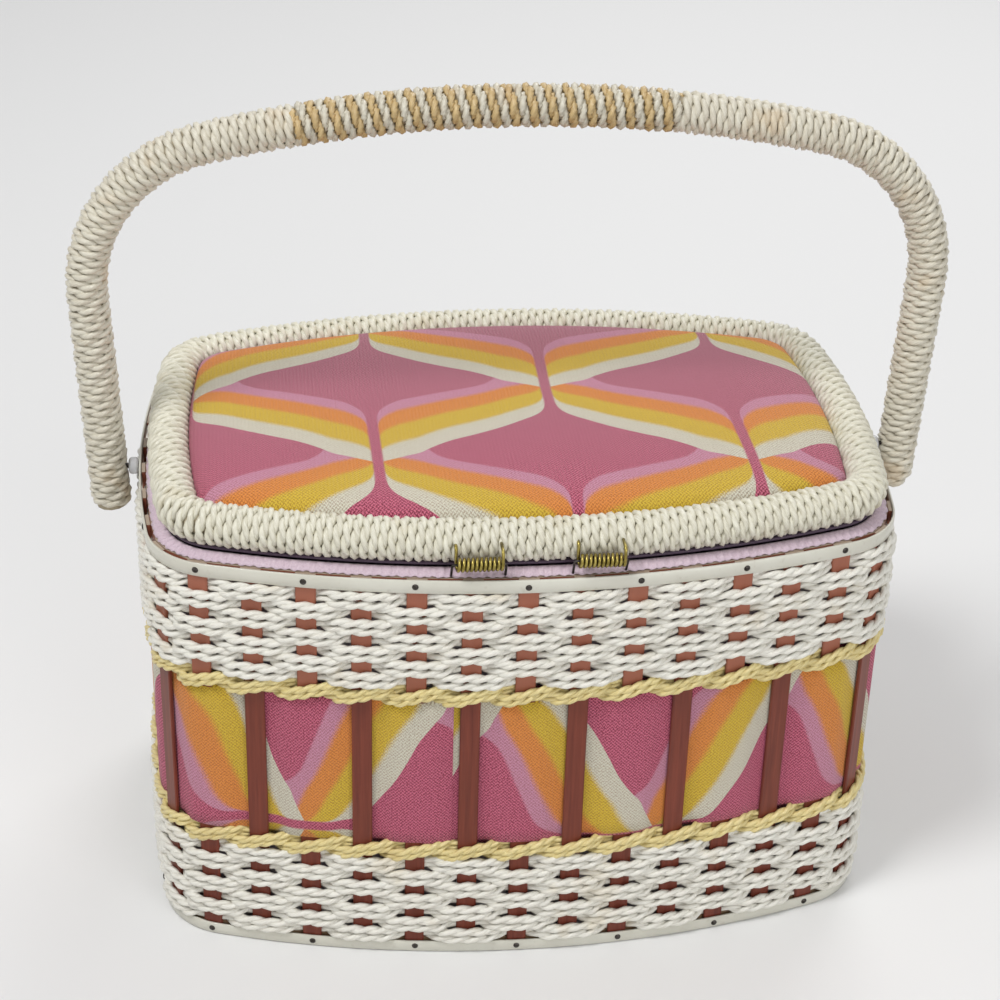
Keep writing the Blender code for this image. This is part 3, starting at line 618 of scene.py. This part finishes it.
WHITE_CORD = cord_material(
    "white_cord", (0.88, 0.87, 0.80), (0.66, 0.62, 0.53), (0.66, 0.55, 0.36)
)
RIM_CORD = cord_material("rim_cord", (0.82, 0.80, 0.68), (0.56, 0.52, 0.39), (0.60, 0.51, 0.32))
HANDLE_CORD = cord_material(
    "handle_cord", (0.74, 0.71, 0.60), (0.50, 0.44, 0.33), (0.60, 0.45, 0.27), 0.5
)
TAN_CORD = cord_material("tan_cord", (0.68, 0.50, 0.24), (0.42, 0.29, 0.12), (0.52, 0.32, 0.15))
YELLOW_CORD = cord_material(
    "yellow_cord", (0.86, 0.74, 0.36), (0.56, 0.43, 0.15), (0.62, 0.47, 0.20)
)
# The cores that show between the windings, darkened as painted shade
SHADED_CORE = plain_cord("cord_shadow", (0.62, 0.53, 0.37))
STAVE_WOOD = wood_material(
    "stave_wood", (0.215, 0.048, 0.026), (0.12, 0.026, 0.016), 0.4, (600.0, 600.0, 22.0), True
)
BASE_WOOD = wood_material(
    "base_wood", (0.42, 0.28, 0.17), (0.28, 0.17, 0.09), 0.6, (30.0, 700.0, 700.0)
)
STRIP = strip_material("binding_strip")
LINING = cloth_material("lining_cloth", (0.72, 0.64, 0.70), (0.52, 0.44, 0.51))
RUFFLE = cloth_material("ruffle_cloth", (0.76, 0.64, 0.71), (0.50, 0.37, 0.45))
# The lid's purple lining, darkened nearly to black as painted shade under the lid
LID_LINING_SHADE = cloth_material("lid_lining_shade_cloth", (0.10, 0.06, 0.10), (0.045, 0.028, 0.05), 0.6)
BRASS = metal_material("brass_wire", (0.44, 0.36, 0.11), (0.22, 0.17, 0.04))
STEEL = metal_material("dark_steel", (0.10, 0.09, 0.085), (0.04, 0.035, 0.03), 0.45)
BEAD = bead_material("bead_plastic")
BAND_PRINT = print_material("band_print")
LID_PRINT = print_material("lid_print", 0.75)


# Weaving

STAVE_MIDDLE = 1.8 * MM
ROW_PITCH = 5.9 * MM
# Staves that a white cord passes while it climbs to its next row
CLIMB = 6
WEAVE_SAMPLES = 14
CORD_RADIUS, CORD_OFFSET, CORD_PITCH = 1.2 * MM, 0.78 * MM, 14 * MM
TWINE_RADIUS, TWINE_OFFSET, TWINE_PITCH = 1.02 * MM, 0.68 * MM, 11 * MM
TWINE_DEPTH, TWINE_RISE, TWINE_SPREAD = 2.0 * MM, 2.0 * MM, 1.3 * MM


def passing(run, over_outer, bias=0.0):
    """1 where the cord passes in front of a stave, -1 behind it, and smooth between."""
    sense = -1 if over_outer else 1
    wave = sense * np.cos(math.pi * (run - STAVE_SHIFT) / PITCH)
    return np.tanh(2.2 * (wave + bias)) / math.tanh(2.2 * (1 + bias))


def weave_rows(name, bottom, nodes):
    """Two cords that chase each other round the wall, each on every second row and made
    of two side by side. They climb past each other at the back."""
    strands = []
    for first, count, over_outer in ((0, 4, True), (1, 3, False)):
        start = STAVES // 2 + (3 if over_outer else 4)
        level = STAVES - CLIMB
        total = (count - 1) * STAVES + level
        passed = np.linspace(0, total, total * WEAVE_SAMPLES)
        run = STAVE_SHIFT + (start + passed) * PITCH
        turn = np.floor(passed / STAVES)
        climb = np.clip((passed - turn * STAVES - level) / CLIMB, 0, 1)
        climb = climb * climb * (3 - 2 * climb)
        front = passing(run, over_outer, 0.35)
        for side in (-1, 1):
            inset = STAVE_MIDDLE - 2.1 * MM * front + drift(run, 90 * MM, 0.12 * MM)
            z = bottom + (first + 0.5) * ROW_PITCH + 2 * ROW_PITCH * (turn + climb)
            z = z + side * (1.62 + 0.22 * front) * MM + drift(run, 70 * MM, 0.18 * MM)
            points, towards = on_wall(run, inset, z)
            strands += two_ply(
                points, towards, False, CORD_RADIUS, CORD_OFFSET, CORD_PITCH, 1.7 * MM
            )
    made = tubes(name, strands, 5, WHITE_CORD, "basket")
    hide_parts(*nodes)


def twine_rows(name, middle, nodes):
    """Two cords that change places between the staves, each made of two side by side."""
    strands = []
    run = around(STAVES * WEAVE_SAMPLES)
    for over_outer in (True, False):
        front = passing(run, over_outer)
        sense = -1 if over_outer else 1
        rise = sense * np.sin(math.pi * (run - STAVE_SHIFT) / PITCH)
        for side in (-1, 1):
            inset = STAVE_MIDDLE - TWINE_DEPTH * front
            z = middle + TWINE_RISE * rise + side * TWINE_SPREAD
            points, towards = on_wall(run, inset, z)
            strands += two_ply(
                points, towards, True, TWINE_RADIUS, TWINE_OFFSET, TWINE_PITCH, 1.5 * MM
            )
    made = tubes(name, strands, 5, YELLOW_CORD, "basket")
    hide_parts(*nodes)


def make_weaving():
    for level, bottom in (("lower", 5.8 * MM), ("upper", 129.3 * MM)):
        nodes = (f"{level}_white_weaver_a", f"{level}_white_weaver_b")
        weave_rows(f"woven_white_cord_{level}", bottom, nodes)
    for level, middle in (("lower", 51.0 * MM), ("upper", 125.1 * MM)):
        nodes = (f"{level}_yellow_twine_a", f"{level}_yellow_twine_b")
        twine_rows(f"twined_yellow_cord_{level}", middle, nodes)


# Cloth band, bindings and nails

# Where the band's ends meet, at the front, and how far the upper end lies over the other
JOIN = -31 * MM
JOIN_LAP, JOIN_LIFT = 12 * MM, 0.5 * MM
BAND_DEPTH, BAND_THICKNESS, BAND_TUCK = 1.2 * MM, 0.45 * MM, 5.6 * MM
BAND_COLUMN, BAND_REPEAT, BAND_START = 72 * MM, 122.2 * MM, 21.2 * MM


def make_band():
    """The band's edges are turned in behind the yellow cords."""
    run = np.linspace(JOIN, JOIN + WALL, STAVES * 10 + 1)
    inset = STAVE_MIDDLE + BAND_DEPTH * passing(run, True)
    inset = inset - np.where(run > JOIN + WALL - JOIN_LAP, JOIN_LIFT, 0.0)
    flat = np.linspace(55.2, 121.4, 12)
    levels = np.concatenate([[50.5, 52.5, 54.0], flat, [122.6, 124.0, 126.0]]) * MM
    tucks = [1.0, 1.0, 0.6] + [0.0] * len(flat) + [0.6, 1.0, 1.0]

    def wall(level, tuck, depth):
        return on_wall(run, inset * (1 - tuck) + BAND_TUCK * tuck + depth, level)[0]

    outer = [wall(z, tuck, 0.0) for z, tuck in zip(levels, tucks)]
    inner = [wall(z, tuck, BAND_THICKNESS) for z, tuck in zip(levels[::-1], tucks[::-1])]
    verts = np.concatenate(outer + inner)
    faces = grid_faces(2 * len(levels), len(run), True, False)[:, ::-1].tolist()
    neck = (53.3 + 8.2 * (run - JOIN) / WALL) * MM
    pattern, cloth = [], []
    for z in list(levels) + list(levels[::-1]):
        # The cloth is pulled sideways at the front's left corner, most at its upper edge
        height = np.clip(0.25 + 0.75 * (z / MM - 60) / 60, 0, 1)
        pulled = 13 * MM * height * np.exp(-(((run - WALL) / MM + 119) / 20) ** 2)
        along = (run - pulled + BAND_START) / BAND_REPEAT
        pattern.append(np.column_stack([(z - neck) / BAND_COLUMN, along, 0 * run]))
        cloth.append(np.column_stack([run, np.full(len(run), z), 0 * run]))
    attributes = {"print": np.concatenate(pattern), "cloth": np.concatenate(cloth)}
    made = mesh_object(
        "printed_cloth_band", verts, faces, BAND_PRINT, "basket", attributes
    )
    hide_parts("cloth_band")


def strip(name, low, high, node):
    """A flat strip with rounded edges and a slightly domed face."""
    edge, thick, dome = 0.25 * MM, 0.8 * MM, 0.06 * MM
    profile = (
        (thick, low),
        (edge, low),
        (0.0, low + edge),
        (-dome, (low + high) / 2),
        (0.0, high - edge),
        (edge, high),
        (thick, high),
    )
    made = ring_solid(name, around(504), profile, STRIP, "basket")
    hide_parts(node)


# Radius and height of a nail's head, from its rim inwards, in millimetres
NAIL_PROFILE = ((1.3, -0.1), (1.22, 0.28), (0.7, 0.55))
NAIL_SIDES = 10


def nails(name, z):
    """Small domed heads, one on each nailed stave."""
    verts, faces = [], []
    for k in range(STAVES // 2):
        run = STAVE_SHIFT + 2 * k * PITCH + RNG.uniform(-0.6, 0.6) * MM
        height = z + RNG.uniform(-0.4, 0.4) * MM
        (point,), (out,) = on_wall([run], 0.0, height)
        along = np.array([-out[1], out[0], 0])
        start = len(verts)
        for radius, lift in NAIL_PROFILE:
            for i in range(NAIL_SIDES):
                angle = TAU * i / NAIL_SIDES
                off = along * math.cos(angle) + np.array([0, 0, 1]) * math.sin(angle)
                verts.append(point + off * radius * MM + out * lift * MM)
        last = start + 2 * NAIL_SIDES
        faces += grid_faces(3, NAIL_SIDES, False, True, start).tolist()
        faces.append(list(range(start, start + NAIL_SIDES))[::-1])
        faces.append(list(range(last, last + NAIL_SIDES)))
    mesh_object(name, verts, faces, STEEL, "basket")


def make_bindings():
    strip("rim_binding_strip", 171.4 * MM, 177.0 * MM, "top_binding")
    strip("foot_binding_strip", 0.3 * MM, 5.3 * MM, "bottom_binding")
    nails("rim_binding_nails", 174.0 * MM)
    nails("foot_binding_nails", 2.9 * MM)


# Lining

PLEATS = 260
LINING_INSIDE, LINING_OUTSIDE = 7.9, 6.9


def make_trim():
    """A gathered strip: up from the lining, over the hoop and out to a scalloped edge."""
    run = around(2100)
    pleat = TAU * run / (WALL / PLEATS)
    wave = np.sin(pleat) + 0.35 * np.sin(2.3 * pleat + 1) * np.cos(TAU * run / WALL * 11)
    edge = 3.4 - 0.6 * np.abs(np.sin(pleat / 4)) + 0.12 * wave
    # Inset and height with the size of the pleats there, in millimetres
    shape = (
        (8.75, 173.6, 0.0),
        (8.75, 176.6, 0.0),
        (8.6, 178.2, 0.0),
        (7.6, 178.45, 0.05),
        (6.2, 178.1, 0.32),
        (4.8, 177.6, 0.42),
        (edge, 177.05, 0.22),
        (edge + 0.1, 176.8, 0.15),
        (4.9, 177.15, 0.42),
        (6.3, 177.6, 0.32),
        (7.5, 177.85, 0.08),
        (8.1, 177.4, 0.0),
        (8.3, 176.6, 0.0),
        (8.3, 173.6, 0.0),
    )
    profile = [(inset * MM, (z + size * wave) * MM) for inset, z, size in shape]
    made = ring_solid("gathered_lining_trim", run, profile, RUFFLE, "basket")
    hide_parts("lining_ruffle")


def make_lining():
    """Wall and floor in one, with shallow folds on the inside."""
    run = around(504)
    gather = np.sin(TAU * run / (WALL / 60)) + 0.5 * np.sin(TAU * run / (WALL / 37) + 1)
    rows = []
    for z, bulge in ((6.0, 0.0), (60.0, 0.045), (120.0, 0.06), (176.4, 0.03)):
        rows.append(on_wall(run, (LINING_OUTSIDE + bulge) * MM, z * MM)[0])
    inside = ((176.4, 0.12), (150.0, 0.3), (100.0, 0.35), (50.0, 0.3), (12.0, 0.15), (8.0, 0.0))
    for z, size in inside:
        rows.append(on_wall(run, (LINING_INSIDE - size * gather * 0.6) * MM, z * MM)[0])
    floor = on_wall(run, 9.5 * MM, 7.2 * MM)[0]
    rows.append(floor)
    for share in (0.6, 0.25):
        rows.append(np.column_stack([floor[:, :2] * share, floor[:, 2]]))
    count = len(run)
    last = (len(rows) - 1) * count
    verts = list(np.concatenate(rows)) + [(0, 0, 7.2 * MM), (0, 0, 6.0 * MM)]
    faces = grid_faces(len(rows), count, False, True)[:, ::-1].tolist()
    faces += fan(last, count, len(verts) - 2) + fan(0, count, len(verts) - 1, True)
    made = mesh_object("cloth_lining", verts, faces, LINING, "basket")
    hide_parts("lining_tub")


# Lid

RIM_INSET, RIM_DROP = 12.2 * MM, 0.5 * MM
RIM_WIDTH, RIM_HEIGHT = 6.5 * MM, 6.6 * MM
RIM_CORE_WIDTH, RIM_CORE_HEIGHT = 5.8 * MM, 5.5 * MM
WRAP_PITCH = 3.35 * MM
PAD_INSET, PAD_FOOT_INSET = 20.4 * MM, 22.7 * MM
PAD_FOOT, PAD_CROWN, PAD_RISE = 187.5 * MM, 189.7, 7.6
LID_COLUMN, LID_REPEAT = 72.4 * MM, 113 * MM
LID_COLUMN_START, LID_REPEAT_START = 15 * MM, 26.3 * MM


def make_rim():
    """Cord wound closely round the lid's edge, and the core that shows between its turns."""
    points, towards = on_wall(around(2400), RIM_INSET, RIM_MIDDLE - RIM_DROP)
    points, towards, at, total = resample(points, towards, True, 0.3 * MM)
    towards = unit(towards)
    points = np.vstack([points, points[:1]])
    towards = np.vstack([towards, towards[:1]])
    up = np.tile([0.0, 0.0, 1.0], (len(points), 1))
    line = (points, np.append(at, total))
    path, facing = wound(line, towards, up, total, WRAP_PITCH, RIM_WIDTH, RIM_HEIGHT, True)
    strands = two_ply(path, facing, True, 1.28 * MM, 0.86 * MM, 12.3 * MM, 1.7 * MM)
    winding = tubes("lid_rim_winding", strands, 5, RIM_CORD, "lid")
    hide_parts("lid_rim")
    profile = []
    for a in TAU * np.arange(14) / 14:
        inset = RIM_INSET - RIM_CORE_WIDTH * math.cos(a)
        profile.append((inset, RIM_MIDDLE + RIM_CORE_HEIGHT * math.sin(a)))
    core = ring_solid("lid_rim_core", around(300), profile, SHADED_CORE, "lid")
    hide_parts("lid_rim")


def lid_print(x, y):
    """The print on the lid. The cloth is drawn a little to the front and to the side."""
    front = np.maximum(18 * MM - y, 0)
    slack = np.where(front < 60 * MM, 1.35 * front**2, 4.86 * MM + 0.05 * (front - 60 * MM))
    drawn = x - (0.3 + 1.7 * np.clip((y / MM - 10) / 60, 0, 1)) * MM - 0.013 * front
    across = 1 + (drawn - LID_COLUMN_START) / LID_COLUMN
    along = (LID_REPEAT_START - 0.043 * (drawn + 58.2 * MM) - y - slack) / LID_REPEAT
    return np.column_stack([across, along, 0 * x])


def make_cushion():
    """The padded panel: a crown that turns down steeply beside the rim."""
    run = around(320)
    foot = on_wall(run, PAD_FOOT_INSET, PAD_FOOT)[0]
    edge = on_wall(run, PAD_INSET, 0.0)[0][:, :2]
    crown = np.concatenate([np.linspace(0.995, 0.9, 10), np.linspace(0.88, 0.04, 26)])
    levels = [(1.0, 188.3), (1.002, 189.4)]
    levels += [(share, PAD_CROWN + PAD_RISE * (1 - share**10) ** 0.54) for share in crown]
    rows = [foot]
    for share, height in levels:
        rows.append(np.column_stack([edge * share, np.full(len(run), height * MM)]))
    count = len(run)
    last = (len(rows) - 1) * count
    verts = np.vstack(rows + [[(0, 0, levels[-1][1] * MM), (0, 0, PAD_FOOT)]])
    faces = grid_faces(len(rows), count, False, True)[:, ::-1].tolist()
    faces += fan(last, count, len(verts) - 2) + fan(0, count, len(verts) - 1, True)
    x, y = verts[:, 0], verts[:, 1]
    attributes = {"print": lid_print(x, y), "cloth": np.column_stack([x, y, 0 * x])}
    made = mesh_object(
        "padded_lid_cloth", verts, faces, LID_PRINT, "lid", attributes
    )
    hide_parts("lid_pad")


def make_lid_lining():
    run = around(320)
    # Inset and height in millimetres
    profile = (
        (14.0, 179.8), (9.4, 180.0), (8.6, 179.7), (8.5, 179.0), (9.2, 178.6), (14.0, 178.6)
    )
    rows = [on_wall(run, inset * MM, z * MM)[0] for inset, z in profile]
    count = len(run)
    last = (len(rows) - 1) * count
    verts = list(np.concatenate(rows)) + [(0, 0, 179.8 * MM), (0, 0, 178.6 * MM)]
    faces = grid_faces(len(rows), count, False, True).tolist()
    faces += fan(0, count, len(verts) - 2) + fan(last, count, len(verts) - 1, True)
    # Its purple is darkened nearly to black: painted shade under the lid
    made = mesh_object("lid_lining_cloth", verts, faces, LID_LINING_SHADE, "lid")
    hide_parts("lid_lining")


# Hinges

COIL_RADIUS, COIL_WIRE, COIL_TURNS = 2.15 * MM, 0.65 * MM, 10.5
COIL_BEND = 1.4 * MM


def coil_leg(foot, rise, inwards):
    """The end of a spring's wire, up from the coil and back into the rim."""
    leg = [foot + np.array([0, 0, rise * share]) for share in (0.25, 0.5, 0.72)]
    for a in np.linspace(0, math.pi / 2, 6):
        back = COIL_BEND * (1 - math.cos(a))
        leg.append(foot + np.array([0, back, rise - COIL_BEND + COIL_BEND * math.sin(a)]))
    leg.append(foot + np.array([0, inwards, rise]))
    return np.array(leg)


def make_springs():
    axis = next(j["pos_m"] for j in frame["joints"] if j["name"] == "lid_hinge")
    turn = math.pi + TAU * COIL_TURNS * np.linspace(0, 1, int(COIL_TURNS * 24) + 1)
    for name in ("left", "right"):
        low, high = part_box(f"hinge_spring_{name}")
        half = (high[0] - low[0]) / 2 - COIL_WIRE
        x = (low[0] + high[0]) / 2 + half * np.linspace(-1, 1, len(turn))
        y = axis[1] - COIL_RADIUS * np.cos(turn)
        z = axis[2] + COIL_RADIUS * np.sin(turn)
        points = np.column_stack([x, y, z])
        first, last = (
            coil_leg(foot, high[2] - COIL_WIRE - foot[2], high[1] - foot[1])
            for foot in (points[0], points[-1])
        )
        path = np.vstack([first[::-1], points, last])
        towards = np.tile([1.0, 0.05, 0.02], (len(path), 1))
        strands = [(path, towards, COIL_WIRE, False)]
        made = tubes(f"brass_hinge_spring_{name}", strands, 8, BRASS, "lid")
        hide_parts(f"hinge_spring_{name}")


# Handle

PIVOT = (161.5 * MM, 173.9 * MM)
LEG_DROP, LEAN = 17.5 * MM, math.radians(2.5)
SHOULDER, CROWN, RISE = 60 * MM, 540 * MM, 149.2 * MM
WIND_REACH, WIND_OFFSET, WIND_PLY_PITCH = 6.35 * MM, 0.84 * MM, 12.5 * MM
LEG_PITCH, MIDDLE_PITCH = 3.4 * MM, 7.3 * MM
MIDDLE_LEFT, MIDDLE_RIGHT = 85.2 * MM, 60.8 * MM
END_GAP = 1.6 * MM


def handle_line():
    """The centre line from the left foot to the right one, its outward directions and lengths."""
    foot = np.array(PIVOT)
    up = np.array([math.sin(LEAN), math.cos(LEAN)])
    inwards = np.array([-up[1], up[0]])
    crown = np.array([0, PIVOT[1] + RISE - CROWN])
    start = foot + inwards * SHOULDER - crown
    half = start @ up
    length = -half + math.sqrt(half**2 - start @ start + (CROWN - SHOULDER) ** 2)
    shoulder = foot + up * length + inwards * SHOULDER
    last = math.pi / 2 + LEAN
    meet = math.atan2(*(shoulder - crown))
    points, outs = [], []
    for t in np.linspace(0, 1, 60):
        points.append(foot - up * LEG_DROP + up * (LEG_DROP + length) * t)
        outs.append((math.sin(last), math.cos(last)))
    arcs = ((shoulder, SHOULDER, last, meet), (crown, CROWN, meet, 0.0))
    for centre, radius, begin, end in arcs:
        for t in np.linspace(0, 1, 80)[1:]:
            a = begin + (end - begin) * t
            outs.append((math.sin(a), math.cos(a)))
            points.append(centre + radius * np.array(outs[-1]))
    right, outs = np.array(points), np.array(outs)
    mirror = np.array([-1, 1])
    flat = np.vstack([right * mirror, right[::-1][1:]])
    out = np.vstack([outs * mirror, outs[::-1][1:]])
    line = np.column_stack([flat[:, 0], np.zeros(len(flat)), flat[:, 1]])
    out = np.column_stack([out[:, 0], np.zeros(len(out)), out[:, 1]])
    return line, unit(out), lengths_along(line)


def part_of(line, out, at, low, high):
    place = np.linspace(low, high, max(8, int((high - low) / MM)))
    return at_lengths(place, at, line), unit(at_lengths(place, at, out)), place - low


def make_handle():
    """The two plain parts are wound one way, and the two cords of the middle the other."""
    line, out, at = handle_line()
    end = at[-1]
    top = at[len(at) // 2]
    low, high = top - MIDDLE_LEFT, top + MIDDLE_RIGHT
    middle = (low, high, MIDDLE_PITCH)
    # Name, start, end, pitch, phase, sense, twist, thickness, material, slot, node
    windings = (
        ("handle_left_winding", END_GAP, low + END_GAP, LEG_PITCH, 0.0, 1, -1, 1.3 * MM,
         HANDLE_CORD, "handle_cord", "handle_core"),
        ("handle_right_winding", high - END_GAP, end - END_GAP, LEG_PITCH, 0.0, 1, -1, 1.3 * MM,
         HANDLE_CORD, "handle_cord", "handle_core"),
        ("handle_tan_cord", *middle, 0.0, -1, 1, 1.5 * MM,
         TAN_CORD, "tan_cord", "handle_tan_winding"),
        ("handle_cream_cord", *middle, math.pi, -1, 1, 1.5 * MM,
         HANDLE_CORD, "handle_cord", "handle_cream_winding"),
    )
    for name, start, stop, pitch, phase, sense, ply, thick, material, slot, node in windings:
        centre, facing, place = part_of(line, out, at, start, stop)
        side = np.tile([0.0, float(sense), 0.0], (len(centre), 1))
        path, towards = wound(
            (centre, place), facing, side, stop - start, pitch, WIND_REACH, WIND_REACH,
            False, phase, True,
        )
        strands = two_ply(
            path, towards, False, thick, WIND_OFFSET, WIND_PLY_PITCH, 1.7 * MM, ply
        )
        made = tubes(name, strands, 5, material, "handle")
        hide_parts(node)
    centre, facing, _ = part_of(line, out, at, 0.6 * MM, end - 0.6 * MM)
    core = [(centre, facing, 6.1 * MM, False)]
    made = tubes("handle_cane_core", core, 12, SHADED_CORE, "handle")
    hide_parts("handle_core")


BEAD_BORE = 1.4 * MM
BEAD_STEPS, BEAD_SIDES = 14, 24


def make_beads():
    """Round beads with flat ends and a bore for the pin."""
    for name in ("left", "right"):
        low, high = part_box(f"spacer_bead_{name}")
        start, end = low[0], high[0]
        middle = (low[2] + high[2]) / 2
        radius = (high[2] - low[2]) / 2
        rows = []
        for i in range(BEAD_STEPS + 1):
            share = i / BEAD_STEPS
            swell = math.sqrt(max(0.0, 1 - (2 * share - 1) ** 4 * 0.55))
            rows.append((start + (end - start) * share, radius * swell))
        rows += [(end, BEAD_BORE), (start, BEAD_BORE)]
        verts = []
        for x, r in rows:
            for i in range(BEAD_SIDES):
                a = TAU * i / BEAD_SIDES
                verts.append((x, r * math.cos(a), middle + r * math.sin(a)))
        faces = grid_faces(len(rows), BEAD_SIDES, True, True).tolist()
        made = mesh_object(f"white_bead_{name}", verts, faces, BEAD, "basket")
        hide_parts(f"spacer_bead_{name}")


# Materials of the solids that stay


def dress_solids():
    finishes = {
        "rim_hoop_with_nailed_staves": STAVE_WOOD,
        "base_board": BASE_WOOD,
        "lid_board": BASE_WOOD,
        "hinge_staple_left": STEEL,
        "hinge_staple_right": STEEL,
        "pivot_pin_left": STEEL,
        "pivot_pin_right": STEEL,
    }
    for name, obj in frame["nodes"].items():
        finish = STAVE_WOOD if name.startswith("outer_stave") else finishes.get(name)
        if finish is None:
            continue
        for slot in obj.material_slots:
            slot.material = finish


# Stage, lights and camera

FLOOR_HALF = 4
SHADE_STRENGTH, SEEN_STRENGTH = 0.45, 0.85
CAMERA_PLACE = (-102.5, -808.4, 621.8)
CAMERA_YAW, CAMERA_PITCH, CAMERA_ROLL = 6.989, 29.951, -1.676
FOCAL_PIXELS, IMAGE_PIXELS, SENSOR_WIDTH = 2284.9, 1000, 36.0


def make_stage():
    g = Graph("pale_floor")
    corners = ((-1, -1), (1, -1), (1, 1), (-1, 1))
    mesh = bpy.data.meshes.new("floor")
    verts = [(x * FLOOR_HALF, y * FLOOR_HALF, 0) for x, y in corners]
    mesh.from_pydata(verts, [], [(0, 1, 2, 3)])
    mesh.materials.append(g.finish((0.80, 0.80, 0.80), 0.9))
    floor = bpy.data.objects.new("floor", mesh)
    bpy.context.scene.collection.objects.link(floor)
    floor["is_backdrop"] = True


def area_light(name, place, size, power):
    """A round lamp that points at the basket."""
    data = bpy.data.lights.new(name, "AREA")
    data.shape = "DISK"
    data.size = size
    data.energy = power
    lamp = bpy.data.objects.new(name, data)
    lamp.location = place
    towards = Vector((0, 0, 0.15)) - Vector(place)
    lamp.rotation_euler = towards.to_track_quat("-Z", "Y").to_euler()
    bpy.context.scene.collection.objects.link(lamp)


def make_light():
    """Lamps, and a white world that looks brighter directly and in gloss than it lights."""
    world = bpy.data.worlds.new("studio")
    world.use_nodes = True
    tree = world.node_tree
    shader = tree.nodes["Background"]
    shader.inputs["Color"].default_value = (1.0, 1.0, 1.0, 1.0)
    path = tree.nodes.new("ShaderNodeLightPath")
    seen = tree.nodes.new("ShaderNodeMath")
    seen.operation = "MAXIMUM"
    tree.links.new(path.outputs["Is Camera Ray"], seen.inputs[0])
    tree.links.new(path.outputs["Is Glossy Ray"], seen.inputs[1])
    strength = tree.nodes.new("ShaderNodeMapRange")
    strength.inputs["To Min"].default_value = SHADE_STRENGTH
    strength.inputs["To Max"].default_value = SEEN_STRENGTH
    tree.links.new(seen.outputs[0], strength.inputs["Value"])
    tree.links.new(strength.outputs[0], shader.inputs["Strength"])
    bpy.context.scene.world = world
    area_light("key", (-0.7, -0.5, 1.6), 0.5, 14)
    area_light("back", (0.6, 1.2, 1.3), 1.0, 9)
    area_light("front", (0.7, -1.5, 0.8), 1.2, 8)


def make_camera():
    """The photograph's camera, found from the basket's outlines."""
    angles = (CAMERA_YAW, CAMERA_PITCH, CAMERA_ROLL)
    yaw, pitch, roll = (math.radians(a) for a in angles)
    level = math.cos(pitch)
    ahead = Vector((math.sin(yaw) * level, math.cos(yaw) * level, -math.sin(pitch)))
    right = Vector((math.cos(yaw), -math.sin(yaw), 0))
    down = ahead.cross(right)
    across = right * math.cos(roll) + down * math.sin(roll)
    below = down * math.cos(roll) - right * math.sin(roll)
    turn = Matrix((across, -below, -ahead)).transposed()
    data = bpy.data.cameras.new("camera")
    data.sensor_width = SENSOR_WIDTH
    data.lens = FOCAL_PIXELS / IMAGE_PIXELS * SENSOR_WIDTH
    data.clip_start = 0.01
    camera = bpy.data.objects.new("camera", data)
    camera.matrix_world = Matrix.Translation(Vector(CAMERA_PLACE) * MM) @ turn.to_4x4()
    bpy.context.scene.collection.objects.link(camera)
    bpy.context.scene.camera = camera


make_weaving()
make_band()
make_bindings()
make_trim()
make_lining()
make_rim()
make_cushion()
make_lid_lining()
make_springs()
make_handle()
make_beads()
dress_solids()
make_stage()
make_light()
make_camera()
bpy.context.scene.view_settings.view_transform = "Standard"

VISUAL_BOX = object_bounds()
boxes = {"cad": CAD_BOX, "visual": VISUAL_BOX}
boxes = {key: [[float(v) for v in corner] for corner in box] for key, box in boxes.items()}
